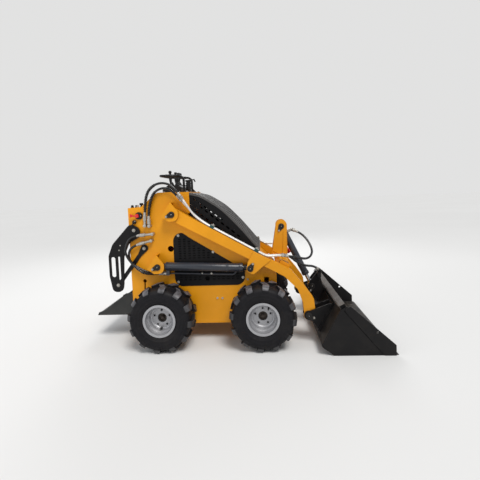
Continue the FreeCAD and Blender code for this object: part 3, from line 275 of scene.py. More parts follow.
def bucket_steel(name):
    """Black enamel that loads have worn to grey steel on the floor, in long streaks."""
    s = Surface(name)
    black = s.mix(s.patches(6, 4, 0.6, 0.3, 0.7), (0.0085, 0.0075, 0.0075), (0.015, 0.0125, 0.012))
    steel = s.mix(s.spread(s.noise(1.0, 6, 0.7, s.stretched(14, 90, 90)), 0.35, 0.65),
                  (0.035, 0.033, 0.031), (0.095, 0.09, 0.083))
    long = s.noise(1.0, 6, 0.68, s.stretched(5, 26, 26))
    floor = s.times(s.spread(s.up(), 0.25, 0.8), s.spread(long, 0.32, 0.72, 0.15, 0.7))
    edge = s.times(s.edges(0.004), s.patches(50, 5, 0.7, 0.46, 0.56))
    bare = s.math("MAXIMUM", floor, s.times(edge, 0.8))
    base = s.mix(dust_on(s, 0.14), s.mix(bare, black, steel), DUST)
    s.finish(Base_Color=base, Metallic=s.times(bare, 0.4),
             Roughness=s.spread(bare, 0, 1, 0.42, 0.5), Specular_IOR_Level=0.2,
             Normal=s.bump(s.noise(90, 4, 0.6), 0.08, 0.0008))


YELLOW = (0.77, 0.311, 0.0030)
BLACK = (0.0070, 0.0066, 0.0072)
paint("paint_yellow", YELLOW, 0.42, 0.05, 0.11, chips=0.3, shine=0.3)
paint("paint_black", BLACK, 0.44, 0.04, 0.07, chips=0.35, under=(0.13, 0.12, 0.11), shine=0.18)
paint("step_black", (0.012, 0.0135, 0.013), 0.34, 0.12, 0.2, chips=0.4, shine=0.4)
paint("panel_black", (0.0065, 0.0062, 0.0072), 0.5, 0.0, 0.1, shine=0.16)
paint("hood_grey", (0.085, 0.081, 0.079), 0.6, 0.0, 0.12, shine=0.25)
# painted shade: flat black for sheets and strips that stand in for shade behind holes, in hollows and at
# seams
paint("shade_black", (0.006, 0.006, 0.0065), 0.7, 0.0, 0.02, shine=0.05)
paint("cylinder_black", (0.026, 0.030, 0.041), 0.34, 0.12, 0.1, chips=0.3, under=(0.2, 0.19, 0.18),
      shine=0.5)
paint("pin_black", (0.014, 0.0125, 0.012), 0.45, 0.0, 0.1, chips=0.5, under=(0.16, 0.14, 0.12), shine=0.3)
metal("rod_chrome", (0.82, 0.82, 0.82), 0.12, (400, 8, 8), 0.0, stain=0.05)
metal("galvanised", (0.82, 0.81, 0.79), 0.36, (40, 40, 40), 0.04, metallic=0.35, stain=0.12)
bucket_steel("worn_steel")
paint("lip_steel", (0.075, 0.066, 0.060), 0.5, 0.0, 0.25, chips=0.6, under=(0.24, 0.22, 0.20), shine=0.3)
metal("rim_silver", (0.425, 0.427, 0.446), 0.4, (26, 26, 26), 0.1, metallic=0.6, stain=0.08, streak=0.9)
rubber("tyre_rubber", (0.0090, 0.0088, 0.0110), 0.56, 0.10, shine=0.16)
worn_and_lit_rubber("tyre_worn_and_lit")
rubber("hose_rubber", (0.009, 0.009, 0.010), 0.26, 0.06, 500, 0.08, shine=0.55)
rubber("control_black", (0.009, 0.009, 0.010), 0.42, 0.06, 300, 0.12, shine=0.35)
paint("engine_iron", (0.03, 0.03, 0.032), 0.55, 0.0, 0.3)
paint("switch_red", (0.62, 0.012, 0.016), 0.25, 0.3, 0.03)
metal("bolt_zinc", (0.52, 0.495, 0.45), 0.34, (90, 90, 90), 0.03, metallic=0.7, stain=0.2)
paint("clamp_teal", (0.010, 0.060, 0.058), 0.4, 0.0, 0.1)
metal("hub_brown", (0.082, 0.065, 0.054), 0.42, (60, 60, 60), 0.1, metallic=0.6, stain=0.6)

SLOTS = {r["node"]: r["material_slot"] for r in frame["record"]["subparts"]}
# CAD nodes that new pieces stand in for, which get no material here
REPLACED = {n for n in NODES if n.startswith(("hose_", "tyre_", "arm_tubes"))} | {"hood", "battery_switch"}
PLAIN_BEVEL = 0.0012
BEVELS = {
    "side_panel": 0.0005, "hood_sides": 0.0005, "rim": 0.0014, "engine": 0.004, "cutting_edge": 0.0015,
    "arm": 0.0016, "side_plate": 0.0014, "tilt_bracket": 0.0016,
}


def round_edges(part, width, angle_deg):
    """Rounds the edges sharper than an angle, by a modifier."""
    bevel = part.modifiers.new("rounding", "BEVEL")
    bevel.width = width
    bevel.segments = 2
    bevel.limit_method = "ANGLE"
    bevel.angle_limit = math.radians(angle_deg)
    bevel.harden_normals = True


def dress(node, look):
    """Gives a CAD node its material, and its hard edges a small rounding."""
    part = NODES[node]
    part.data.materials.clear()
    part.data.materials.append(MATERIALS[look])
    weld = part.modifiers.new("weld", "WELD")
    weld.merge_threshold = 0.00002
    widths = [w for start, w in BEVELS.items() if node.startswith(start)]
    round_edges(part, widths[0] if widths else PLAIN_BEVEL, 38)


# nodes whose look differs from the rest of their slot
LOOKS = {
    "chassis_pins": "pin_black", "arm_pins": "pin_black", "coupler_pins": "pin_black",
    "fittings": "bolt_zinc", "step": "step_black",
}

for name in NODES:
    if name not in REPLACED:
        dress(name, LOOKS.get(name, SLOTS[name]))


# Building pieces

POINT_RADIUS = 0.01
FINE_STEP = 0.001
WELD_STEP = 0.0022


def new_piece(name, bm, *materials, sharp_deg=32):
    """A mesh object with its materials, smooth but for edges sharper than the angle."""
    bmesh.ops.recalc_face_normals(bm, faces=bm.faces[:])
    mesh = bpy.data.meshes.new(name)
    bm.to_mesh(mesh)
    bm.free()
    piece = linked(name, mesh)
    for material in materials:
        mesh.materials.append(MATERIALS[material])
    for face in mesh.polygons:
        face.use_smooth = True
    mesh.set_sharp_from_angle(angle=math.radians(sharp_deg))
    return piece


KITS = {}


def kit(name, body, material, mirror=False, replaces=()):
    """The mesh that collects one body's details of one material; mirror adds the left-hand copies."""
    if name not in KITS:
        KITS[name] = (bmesh.new(), body, material, mirror, replaces)
    return KITS[name][0]


def finish_kits():
    for name, (bm, body, material, mirror, replaces) in KITS.items():
        if mirror:
            copied = bmesh.ops.duplicate(bm, geom=bm.verts[:] + bm.edges[:] + bm.faces[:])["geom"]
            for part in copied:
                if isinstance(part, bmesh.types.BMVert):
                    part.co.y *= -1
        piece = new_piece(name, bm, material)
        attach(piece, body)
        if replaces:
            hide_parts(*replaces)


def join_rings(bm, low, high):
    """Skins two rings of as many points, or a ring and a single point."""
    count = max(len(low), len(high))
    for k in range(count):
        following = (k + 1) % count
        if len(low) == 1:
            corners = (low[0], high[following], high[k])
        elif len(high) == 1:
            corners = (low[k], low[following], high[0])
        else:
            corners = (low[k], low[following], high[following], high[k])
        bm.faces.new(corners)


def skin(bm, rings, closed=False, capped=False):
    """Joins each ring to the next; closed joins the last to the first, capped fills both ends."""
    following = rings[1:] + rings[:1] if closed else rings[1:]
    for low, high in zip(rings, following):
        join_rings(bm, low, high)
    if capped:
        bm.faces.new(rings[0][::-1])
        bm.faces.new(rings[-1])


def band(bm, a, b):
    """Skins the band between two rows of as many points."""
    for i in range(len(a) - 1):
        bm.faces.new((a[i], a[i + 1], b[i + 1], b[i]))


def round_angles(count, spin=0.0):
    return [spin + 2 * math.pi * k / count for k in range(count)]


def on_circle(a, b, angle, radius):
    """The way from a circle's centre to its point at an angle, from the circle's two directions."""
    return (a * math.cos(angle) + b * math.sin(angle)) * radius


def square_to(axis):
    """Two directions square to an axis and to each other."""
    a = axis.orthogonal().normalized()
    return a, axis.cross(a)


def turn(bm, profile, place, axis, around=24, spin=0.0):
    """Turns a profile of (radius, distance) corners, in millimetres, about an axis through a place.

    The profile's ends are drawn in to the axis, unless it ends where it began.
    """
    corners = list(profile)
    if profile[0] != profile[-1]:
        if profile[0][0] > POINT_RADIUS:
            corners.insert(0, (0, profile[0][1]))
        if profile[-1][0] > POINT_RADIUS:
            corners.append((0, profile[-1][1]))
    axis = axis.normalized()
    a, b = square_to(axis)
    angles = round_angles(around, spin)
    rings = []
    for r, h in corners:
        centre = place + axis * (h / 1000)
        if r < POINT_RADIUS:
            rings.append([bm.verts.new(centre)])
        else:
            rings.append([bm.verts.new(centre + on_circle(a, b, t, r / 1000)) for t in angles])
    skin(bm, rings)


def hexagon(bm, place, axis, across, low, high):
    """A hexagonal nut or head with a chamfered top, turned at random."""
    r = across / math.sqrt(3)
    chamfer = 0.08 * across
    turn(bm, [(r, low), (r, high - chamfer), (r - chamfer, high)], place, axis, around=6,
         spin=dice.uniform(0, math.pi / 3))


def bolt(bm, place, axis, across=13.0, height=7.0, washer=1.8):
    """A hexagonal bolt on its washer, with the small dish in its head."""
    wide = across * 0.86
    top = washer + height
    turn(bm, [(wide, 0), (wide, washer * 0.7), (wide - 0.5, washer)], place, axis)
    hexagon(bm, place, axis, across, washer, top)
    turn(bm, [(across * 0.42, top - 0.2), (across * 0.40, top + 0.5)], place, axis, around=18)


def ring(bm, place, axis, major, minor, around=64, section=10):
    """A round bar bent into a ring about an axis."""
    axis = axis.normalized()
    a, b = square_to(axis)
    rings = []
    for t in round_angles(around):
        rings.append([
            bm.verts.new(place + on_circle(a, b, t, (major + minor * math.cos(u)) / 1000)
                         + axis * (minor * math.sin(u) / 1000))
            for u in round_angles(section)
        ])
    skin(bm, rings, closed=True)


def prism(bm, outline, y_low, y_high):
    """A side-view outline of (x, z) corners, drawn out across the loader."""
    skin(bm, [[bm.verts.new(at(x, y, z)) for x, z in outline] for y in (y_low, y_high)], capped=True)


def smooth_line(points):
    """The points of the smooth curve that has these as its control points."""
    curve = bpy.data.curves.new("line", "CURVE")
    curve.dimensions = "3D"
    spline = curve.splines.new("NURBS")
    spline.points.add(len(points) - 1)
    for knot, point in zip(spline.points, points):
        knot.co = (*point, 1)
    spline.order_u = 3
    spline.use_endpoint_u = True
    spline.resolution_u = 16
    holder = linked("line", curve)
    bpy.context.view_layer.update()
    mesh = bpy.data.meshes.new_from_object(holder.evaluated_get(bpy.context.evaluated_depsgraph_get()))
    line = [v.co.copy() for v in mesh.vertices]
    bpy.data.objects.remove(holder)
    bpy.data.meshes.remove(mesh)
    return line


def resampled(line, step):
    """Points about a step apart along a line, both ends kept."""
    lengths = [(b - a).length for a, b in zip(line, line[1:])]
    total = sum(lengths)
    count = max(2, round(total / step))
    points, i, passed = [], 0, 0.0
    for k in range(count + 1):
        want = min(total * k / count, total - 1e-9)
        while i < len(lengths) - 1 and passed + lengths[i] < want:
            passed += lengths[i]
            i += 1
        points.append(line[i].lerp(line[i + 1], (want - passed) / lengths[i]))
    return points


def part_of(line, start, end):
    """The stretch of a line between two distances from its start, in metres."""
    fine = resampled(line, FINE_STEP)
    total = line_length(fine)
    count = len(fine) - 1
    return fine[round(count * start / total):round(count * end / total) + 1]


def frames_along(line):
    """A centre and two cross directions at each point, turned as little as possible."""
    tangents = []
    for i in range(len(line)):
        tangents.append((line[min(i + 1, len(line) - 1)] - line[max(i - 1, 0)]).normalized())
    side = tangents[0].orthogonal().normalized()
    rings = []
    for point, tangent in zip(line, tangents):
        side = (side - tangent * side.dot(tangent)).normalized()
        rings.append((point, side, tangent.cross(side)))
    return rings


def tube_along(bm, line, radius_at, around=20):
    """Skins a round tube on a line; radius_at is a radius or a function of the place from 0 to 1."""
    rings = []
    for i, (point, a, b) in enumerate(frames_along(line)):
        r = radius_at(i / (len(line) - 1)) if callable(radius_at) else radius_at
        rings.append([bm.verts.new(point + on_circle(a, b, t, r)) for t in round_angles(around)])
    skin(bm, rings, capped=True)


def weld_bead(bm, points, size=3.4):
    """A rippled weld seam through points, sunk to half its thickness in the corner it fills."""
    line = resampled([at(*p) for p in points], WELD_STEP)
    radii = []
    for i in range(len(line)):
        ripple = 0.86 + 0.14 * math.sin(2.1 * i) + dice.uniform(-0.05, 0.05)
        radii.append(size / 1000 * ripple)
    tube_along(bm, line, lambda t: radii[round(t * (len(radii) - 1))], around=7)


# Tyres, in place of the plain ones: same size, finer section and rounded lugs

TYRE_RADIUS = 230.0
WHEEL_Y = 400.0
LUG_COUNT = 12
CARCASS = [
    # radius, distance from the tyre's middle
    (101.9, 84.0), (102.2, 91.5), (106.5, 92.6), (112.5, 93.0), (117.0, 95.4), (119.0, 98.2), (121.5, 98.4),
    (123.5, 99.6), (130.0, 102.4), (138.0, 105.0), (139.5, 106.2), (142.0, 106.2), (143.5, 105.6),
    (152.0, 106.8), (161.0, 107.2), (162.5, 107.9), (165.0, 107.9), (166.5, 107.1), (175.0, 106.6),
    (184.0, 105.4), (192.0, 102.6), (199.0, 97.8), (205.0, 90.6), (209.0, 82.0), (211.4, 70.0),
    (212.6, 45.0), (213.0, 20.0),
]
LUG_STATIONS = [
    # distance from the middle, top radius, foot radius, one edge and the other along the tread
    (3.5, 229.2, 209.0, -18.0, 16.0), (8.0, 230.0, 209.0, -16.0, 20.0), (30.0, 230.0, 209.0, -5.0, 33.0),
    (50.0, 229.7, 208.0, 4.0, 47.0), (60.0, 229.1, 206.0, 7.0, 51.0), (82.0, 225.8, 201.0, 5.0, 51.5),
    (94.0, 219.4, 194.0, 3.6, 51.0), (103.0, 209.8, 186.0, 2.6, 50.4), (107.4, 198.0, 180.0, 2.6, 49.6),
    (108.0, 189.0, 175.0, 4.0, 48.0), (107.2, 180.0, 172.0, 7.0, 45.0),
]
WORN_AND_LIT_STATIONS = 8
LUG_DRAFT = 3.4
LUG_EDGE_DEG = 40
LUG_ROUNDING = 0.0022
AROUND_TYRE = 120


def tyre_lug(bm, spot, row, angle):
    """One bar lug: a draughted block that bends over the shoulder; its top and flanks are worn, and painted
    lighter where they face up, as if lit from above.
    """
    rings = []
    for v, top, foot, left, right in LUG_STATIONS:
        # near the shoulder the foot moves inward instead of down
        foot_v = min(v, 100.0)
        rings.append([
            spot(angle, left - LUG_DRAFT, foot_v * row, foot), spot(angle, left, v * row, top),
            spot(angle, right, v * row, top), spot(angle, right + LUG_DRAFT, foot_v * row, foot),
        ])
    rows = [[bm.verts.new(p) for p in ring_points] for ring_points in rings]
    for j, (a, b) in enumerate(zip(rows, rows[1:])):
        for k in range(3):
            face = bm.faces.new((a[k], a[k + 1], b[k + 1], b[k]))
            face.material_index = 1 if k == 1 and j < WORN_AND_LIT_STATIONS else 0
        bm.faces.new((a[3], a[0], b[0], b[3]))
    bm.faces.new(rows[0][::-1])
    bm.faces.new(rows[-1])


def make_tyre(place, x, side, sign):
    centre = at(x, sign * WHEEL_Y, TYRE_RADIUS)

    def spot(angle, u, v, radius):
        """A point of the tyre: u along the tread, v from the middle to the side that faces out."""
        t = angle + u / TYRE_RADIUS
        return centre + Vector((radius * math.sin(t), -sign * v, radius * math.cos(t))) / 1000

    bm = bmesh.new()
    section = CARCASS + [(r, -v) for r, v in reversed(CARCASS)]
    rings = [[bm.verts.new(spot(t, 0, v, r)) for r, v in section] for t in round_angles(AROUND_TYRE)]
    skin(bm, rings, closed=True)
    for row, way in enumerate((-1, 1)):
        for k in range(LUG_COUNT):
            tyre_lug(bm, spot, way, 2 * math.pi * (k + row / 2) / LUG_COUNT)
    tyre = new_piece(f"tyre_{place}_{side}_skin", bm, "tyre_rubber", "tyre_worn_and_lit", sharp_deg=LUG_EDGE_DEG)
    round_edges(tyre, LUG_ROUNDING, LUG_EDGE_DEG)
    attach(tyre, f"wheel_{place}_{side}")
    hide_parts(f"tyre_{place}_{side}")


# distance from the tyre's middle, radius, thickness
RIM_EDGES = [(97.2, 108.6, 2.7), (-97.2, 108.6, 2.7), (64.5, 88.6, 2.2)]
HUB = [(30.5, 3.1), (30.5, 9), (28, 12), (24.5, 12), (23.5, 6.5), (16, 6.5), (16, 9.5)]
HUB_PEG_CIRCLE = 19.5
STUD_HOLE = [(7.1, 23.2), (10.4, 23.2), (10.4, 24.4), (9.6, 24.9), (7.1, 24.4), (7.1, 23.2)]
STUD_CIRCLE = 55.0
VALVE = [(9, 52), (9, 57), (6.5, 61), (5.8, 74), (4.4, 75), (4.4, 88)]
VALVE_CIRCLE = 83.5
VALVE_LEAN = 0.35
VALVE_ANGLE = {"front": 55, "rear": -95}


def wheel_details(place, x, side, sign):
    """Rolled rim edges, hub with its castle nut, studs in their holes, and the valve."""
    body = f"wheel_{place}_{side}"
    centre = at(x, sign * WHEEL_Y, TYRE_RADIUS)
    out = Vector((0, sign, 0))
    silver = kit(f"rim_edges_{place}_{side}", body, "rim_silver")
    for h, radius, thick in RIM_EDGES:
        ring(silver, centre + out * (h / 1000), out, radius, thick)
    hub = kit(f"hub_{place}_{side}", body, "hub_brown")
    turn(hub, HUB, centre, out, around=40)
    hexagon(hub, centre, out, 26, 9, 18)
    turn(hub, [(8, 18), (8, 23), (6, 24.5)], centre, out, around=20)
    for k in range(6):
        spot = centre + heading(60 * k + 20) * (HUB_PEG_CIRCLE / 1000)
        turn(hub, [(2.6, 6), (2.6, 10.5), (0, 11.5)], spot, out, around=10)
    studs = kit(f"studs_{place}_{side}", body, "control_black")
    for k in range(5):
        spot = centre + heading(90 + 72 * k) * (STUD_CIRCLE / 1000)
        turn(studs, [(6.6, 5.6), (6.6, 8)], spot, out, around=16)
        turn(silver, STUD_HOLE, spot, out)
    radial = heading(VALVE_ANGLE[place])
    lean = (out + radial * -VALVE_LEAN).normalized()
    turn(studs, VALVE, centre + radial * (VALVE_CIRCLE / 1000) - lean * 0.026, lean, around=16)


for place, x in (("front", 350), ("rear", -350)):
    for side, sign in SIDES:
        make_tyre(place, x, side, sign)
        wheel_details(place, x, side, sign)


# The hood's skin, in place of the plain one: the same bent sheet, punched all over

HOOD_HALF = 240.0
HOOD_PITCH = 13.5
HOOD_HOLE = 0.36
HOOD_SKIN = 2.4
HOOD_EDGE = 16.0
HOOD_ENDS = (-159.0, 344.0)
HOOD_STEPS = 240
HOOD_EASE = 20
SHADE_SHEET_DEPTH = 5.0
AROUND_HOLE = [(-1, -1), (0, -1), (1, -1), (1, 0), (1, 1), (0, 1), (-1, 1), (-1, 0)]


def hood_line():
    """The skin's top line, read off the CAD hood from above: (x, z) in metres, an even step apart."""
    mesh = NODES["hood"].data
    tree = BVHTree.FromPolygons([v.co for v in mesh.vertices], [p.vertices[:] for p in mesh.polygons])
    rear, front = HOOD_ENDS
    line = []
    for k in range(HOOD_STEPS + 1):
        x = at(rear + (front - rear) * k / HOOD_STEPS, 0, 0).x
        hit = tree.ray_cast(Vector((x, 0, 2)), -UP)[0]
        line.append(Vector((x, 0, hit.z)))
    smooth = []
    for k, point in enumerate(line):
        near = min(HOOD_EASE, k, HOOD_STEPS - k)
        heights = [v.z for v in line[k - near:k + near + 1]]
        smooth.append(Vector((point.x, 0, min(point.z, sum(heights) / len(heights)))))
    return smooth


def make_hood():
    line = hood_line()
    rows = 2 * round(line_length(line) * 1000 / HOOD_PITCH)
    columns = 2 * round(2 * HOOD_HALF / HOOD_PITCH)
    spine = resampled(line, line_length(line) / rows)
    normals = [
        left_of(after - before).normalized()
        for before, after in zip([spine[0], *spine[:-1]], [*spine[1:], spine[-1]])
    ]

    def spot(i, j, depth):
        """A point of the skin at a row and a column, whole or between, at a depth under its face."""
        low = min(int(i), len(spine) - 2)
        share = i - low
        point = spine[low].lerp(spine[low + 1], share)
        normal = normals[low].lerp(normals[low + 1], share)
        y = (-HOOD_HALF + 2 * HOOD_HALF * j / columns) / 1000
        return Vector((point.x, y, point.z)) - normal * (depth / 1000)

    bm = bmesh.new()
    depths = (0.0, HOOD_SKIN)
    upper, under = (
        [[bm.verts.new(spot(i, j, depth)) for j in range(columns + 1)] for i in range(rows + 1)]
        for depth in depths
    )
    for i in range(1, rows, 2):
        for j in range(1, columns, 2):
            rims = []
            for grid, depth in zip((upper, under), depths):
                outer = [grid[i + di][j + dj] for di, dj in AROUND_HOLE]
                if i in (1, rows - 1) or j in (1, columns - 1):
                    join_rings(bm, outer, [grid[i][j]])
                    continue
                rim = []
                for di, dj in AROUND_HOLE:
                    reach = 2 * HOOD_HOLE * (1.0 if 0 in (di, dj) else 0.7071)
                    rim.append(bm.verts.new(spot(i + di * reach, j + dj * reach, depth)))
                join_rings(bm, outer, rim)
                rims.append(rim)
            if rims:
                join_rings(bm, *rims)
    for j, way in ((0, 1), (columns, -1)):
        top = [row[j] for row in upper]
        inward = Vector((0, way * HOOD_SKIN / 1000, 0))
        foot = [bm.verts.new(v.co - UP * (HOOD_EDGE / 1000)) for v in top]
        inner_foot = [bm.verts.new(v.co + inward) for v in foot]
        inner_top = [bm.verts.new(v.co + inward - UP * 0.002) for v in top]
        for a, b in ((top, foot), (foot, inner_foot), (inner_foot, inner_top)):
            band(bm, a, b)
    for i in (0, rows):
        band(bm, upper[i], under[i])
    for v in [v for v in bm.verts if not v.link_faces]:
        bm.verts.remove(v)
    hood = new_piece("hood_skin", bm, "hood_grey", sharp_deg=30)
    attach(hood, "chassis")
    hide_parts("hood")
    # painted shade: a dark sheet under the punched skin, so that its holes read dark
    shade_sheet = kit("hood_shade_sheet", "chassis", "shade_black")
    edges = []
    for i in range(rows + 1):
        edges.append([shade_sheet.verts.new(spot(i, j, SHADE_SHEET_DEPTH)) for j in (0.4, columns - 0.4)])
    for a, b in zip(edges, edges[1:]):
        band(shade_sheet, a, b)


make_hood()


# Hoses, through part.py's own points

HOSE_RADIUS = 0.0085
HOSES = {
    "hose_top_outer": [
        (-474, -308, 932.3), (-469.6, -308, 1005), (-448, -316.4, 1104.4), (-393.9, -319.7, 1156.7),
        (-319.9, -324.7, 1170.1), (-249.2, -330, 1139.3), (-202.3, -330, 1067.4),
    ],
    "hose_top_inner": [
        (-446, -308, 905.3), (-446, -308, 961.7), (-421.4, -306.2, 1065.9), (-385.6, -306.1, 1114.3),
        (-328.7, -306, 1133.9), (-270.7, -306, 1117.6), (-214.3, -306, 1050.4),
    ],
    "hose_side_upper": [
        (-512.3, -308, 797), (-571, -308, 792.9), (-615.5, -315, 754.2), (-637.4, -324, 660.6),
        (-517.5, -326, 522.8), (-414.5, -326, 519.1), (-354.6, -326, 516.6),
    ],
    "hose_side_lower": [
        (-518.3, -308, 734.9), (-581.9, -308, 719), (-615.1, -304, 662.5), (-598.9, -303, 592.7),
        (-482.9, -303, 521.1), (-398.8, -304, 518.5), (-354.6, -304, 516.6),
    ],
    "hose_tilt": [
        (518.9, -290.2, 615.5), (555.1, -278, 606.4), (606.9, -240, 594),
        (678.9, -162.8, 561.1), (727.8, -117.8, 573.1), (746.8, -69.4, 616.3),
        (718.1, -20.8, 686.7), (664.6, 0, 742.6), (620.3, 0, 761.7),
    ],
    "hose_front": [
        (519.4, -265.6, 615.2), (556, -253.4, 605.9), (612, -222, 550),
        (680, -168, 512), (749.5, -110.7, 497.4), (783.7, -84.2, 466.3),
    ],
}
# length, first body, second body, share of the hose under a spiral guard
HOSE_FACTS = {
    "hose_top_outer": (0.4807, "chassis", "lift_arm", (0.10, 0.52)),
    "hose_top_inner": (0.4259, "chassis", "lift_arm", (0.10, 0.50)),
    "hose_side_upper": (0.545, "chassis", "lift_barrel", (0.70, 0.90)),
    "hose_side_lower": (0.4564, "chassis", "lift_barrel", None),
    "hose_tilt": (0.5609, "lift_arm", "tilt_barrel", None),
    "hose_front": (0.3614, "lift_arm", "bucket", None),
}
FERRULE = 0.030
GUARD_PITCH = 0.0115
GUARD_RADIUS = 0.0026
GUARD_GAP = 0.0014


def ferrule_radius(t):
    """A crimped ferrule's radius from the nut to the hose."""
    if t > 0.94:
        return 0.0092
    return 0.0104 - 0.0006 * abs(math.sin(t * 5 * math.pi))


def add_ferrule(bm, line):
    """A crimped ferrule and its nut on the first stretch of a line."""
    tube_along(bm, part_of(line, 0.008, FERRULE), ferrule_radius, around=20)
    nut = part_of(line, 0.0, 0.009)
    tube_along(bm, [nut[0], nut[-1]], 0.0122, around=6)


def spiral_guard(line, share):
    """The line of a spiral wrap round part of a hose."""
    total = line_length(line)
    stretch = part_of(line, share[0] * total, share[1] * total)
    wound = []
    for i, (point, a, b) in enumerate(frames_along(stretch)):
        t = 2 * math.pi * i * FINE_STEP / GUARD_PITCH
        wound.append(point + on_circle(a, b, t, HOSE_RADIUS + GUARD_GAP))
    return wound


def make_hose(name, points, node, first, second, guard):
    line = smooth_line([at(*p) for p in points])
    ends = {
        "start": tuple(part_of(line, 0, FERRULE)[-1]),
        "end": tuple(part_of(line[::-1], 0, FERRULE)[-1]),
    }
    bm = bmesh.new()
    tube_along(bm, line, HOSE_RADIUS, around=24)
    piece = new_piece(name, bm, "hose_rubber")
    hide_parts(node)
    tuple(line[0])
    [tuple(p) for p in line]
    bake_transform(piece)
    add_ferrule(kit(f"ferrules_{first}", first, "bolt_zinc"), line)
    add_ferrule(kit(f"ferrules_{second}", second, "bolt_zinc"), line[::-1])
    if guard:
        wrap = bmesh.new()
        tube_along(wrap, spiral_guard(line, guard), GUARD_RADIUS, around=6)
        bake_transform(new_piece(f"{name}_guard", wrap, "control_black"))


for name, points in HOSES.items():
    length, first, second, guard = HOSE_FACTS[name]
    if name in ("hose_tilt", "hose_front"):
        make_hose(f"{name}_skin", points, name, first, second, guard)
        continue
    for side, sign in SIDES:
        turned = [(x, -sign * y, z) for x, y, z in points]
        body = f"{second}_{side}" if second == "lift_barrel" else second
        make_hose(f"{name}_{side}_skin", turned, f"{name}_{side}", first, body, guard)


# Places shared with part.py, in the side view

ARM_PIVOT = (-266.0, 940.0)
LIFT_BASE = (-386.0, 570.0)
LIFT_EYE = (273.0, 542.0)
BUCKET_PIVOT = (668.0, 203.0)
TILT_BASE = (514.0, 803.0)
TILT_EYE = (740.0, 325.0)
ARM_SLOPE = -30.0
PLATE_Y = -280.0
PANEL_Y = -283.0
ARM_Y = -345.0
EAR_Y = -360.0
BRACKET_Y = -48.0
ELBOW_Y = -308.0
LIFT_Y = 318.0
REAR_X = -616.0
HOOD_REAR_FOOT = (-150.0, 892.0)
HOOD_FOOT_SLOPE = -29.74
STEP_TOP = 195.0
SHELF_TOP = 996.0
FLAG = 6.0
FLAG_REACH = 38.0


# Fastenings

PANEL_BOLTS = [(-245, 783), (5, 656), (-259, 441), (215, 465)]
SIDE_BOLTS = [(22, 316), (59, 315), (249, 449)]
# place, width, height, washer
GUARD_BOLTS = [
    ((-565, -301, 833), 15, 7, 2.2), ((-703, -301, 433), 15, 7, 2.2), ((-499, -293, 698), 14, 7, 2.2),
    ((-685, -295, 690), 6, 3, 1), ((-675, -295, 725), 6, 3, 1),
]
PIN_END = [(17, 0), (17, 1.6), (15.5, 2.6), (6, 2.6), (5, 1.2)]
NIPPLE = [(3.2, 1), (3.2, 3), (1.8, 4), (1.8, 6), (2.6, 7), (1.8, 9)]


def button(bm, place, axis, wide):
    """A low domed head, for where a cylinder passes close by."""
    dome = [(1, 0), (1, 0.9), (0.62, 1.1), (0.56, 2.2), (0.3, 2.8), (0, 2.9)]
    turn(bm, [(wide * share, h) for share, h in dome], place, axis)


def pin_face(bm, nipple_bm, place, y):
    """A pin's turned end with its grease nipple."""
    spot = at(place[0], y, place[1])
    turn(bm, PIN_END, spot, OUT, around=32)
    turn(nipple_bm, NIPPLE, spot, OUT, around=14)


def flag_bolt(bm, place, angle_deg, y):
    """The bolt that holds a pin's flag, off to one side of the pin."""
    x, z = along(place, angle_deg, FLAG_REACH)
    bolt(bm, at(x, y, z), OUT, 9.5, 5.5)


def chassis_fastenings():
    zinc = kit("chassis_bolts", "chassis", "bolt_zinc", mirror=True)
    for x, z in PANEL_BOLTS:
        button(zinc, at(x, PANEL_Y, z), OUT, 9.5)
    for x, z in SIDE_BOLTS:
        bolt(zinc, at(x, PLATE_Y, z), OUT, 9, 5)
    dark = kit("chassis_pin_ends", "chassis", "pin_black", mirror=True)
    for place in (ARM_PIVOT, LIFT_BASE):
        pin_face(dark, zinc, place, EAR_Y - FLAG)
        flag_bolt(zinc, place, 200, EAR_Y - FLAG)
    for place, across, height, washer in GUARD_BOLTS:
        bolt(zinc, at(*place), OUT, across, height, washer)
    for reach in (40, 160, 280, 390):
        x, z = along(HOOD_REAR_FOOT, HOOD_FOOT_SLOPE, reach)
        bolt(zinc, at(x, -HOOD_HALF, z + 16), OUT, 9, 4, 1.2)
    for y in (-190, -95):
        for z in (222, 322):
            bolt(zinc, at(REAR_X, y, z), -AHEAD, 15, 8, 2.2)


def arm_fastenings():
    zinc = kit("arm_bolts", "lift_arm", "bolt_zinc", mirror=True)
    dark = kit("arm_pin_ends", "lift_arm", "pin_black", mirror=True)
    pin_face(dark, zinc, LIFT_EYE, ARM_Y - 14)
    flag_bolt(zinc, LIFT_EYE, 60, ARM_Y - 14)
    single = kit("bracket_bolts", "lift_arm", "bolt_zinc")
    pin_face(kit("bracket_pin_end", "lift_arm", "pin_black"), single, TILT_BASE, BRACKET_Y - FLAG)
    flag_bolt(single, TILT_BASE, 240, BRACKET_Y - FLAG)


def bucket_fastenings():
    zinc = kit("bucket_bolts", "bucket", "bolt_zinc", mirror=True)
    dark = kit("bucket_pin_ends", "bucket", "pin_black", mirror=True)
    pin_face(dark, zinc, BUCKET_PIVOT, -368)
    bolt(zinc, at(702, -362, 186), OUT, 10, 6, 1.8)
    pin_face(dark, zinc, TILT_EYE, -50)
    flag_bolt(zinc, TILT_EYE, -110, -50)
    plough = kit("edge_bolts", "bucket", "lip_steel", mirror=True)
    for y in (-120, -280, -420):
        turn(plough, [(10, 0), (9, 2.5), (0, 3.2)], at(1152, y, 12), UP)
    line = kit("coupler_line", "bucket", "lip_steel")
    bent = [at(x, -60, z) for x, z in ((772, 196), (788, 201), (806, 226), (826, 230))]
    tube_along(line, smooth_line(bent), 0.0045, around=12)


chassis_fastenings()
arm_fastenings()
bucket_fastenings()


# Welds

CROSS_WELD_Y = -285.5


def flat_welds(bm, welds):
    """Beads that lie in planes along the loader: y, size and (x, z) points of each."""
    for y, size, points in welds:
        weld_bead(bm, [(x, y, z) for x, z in points], size)


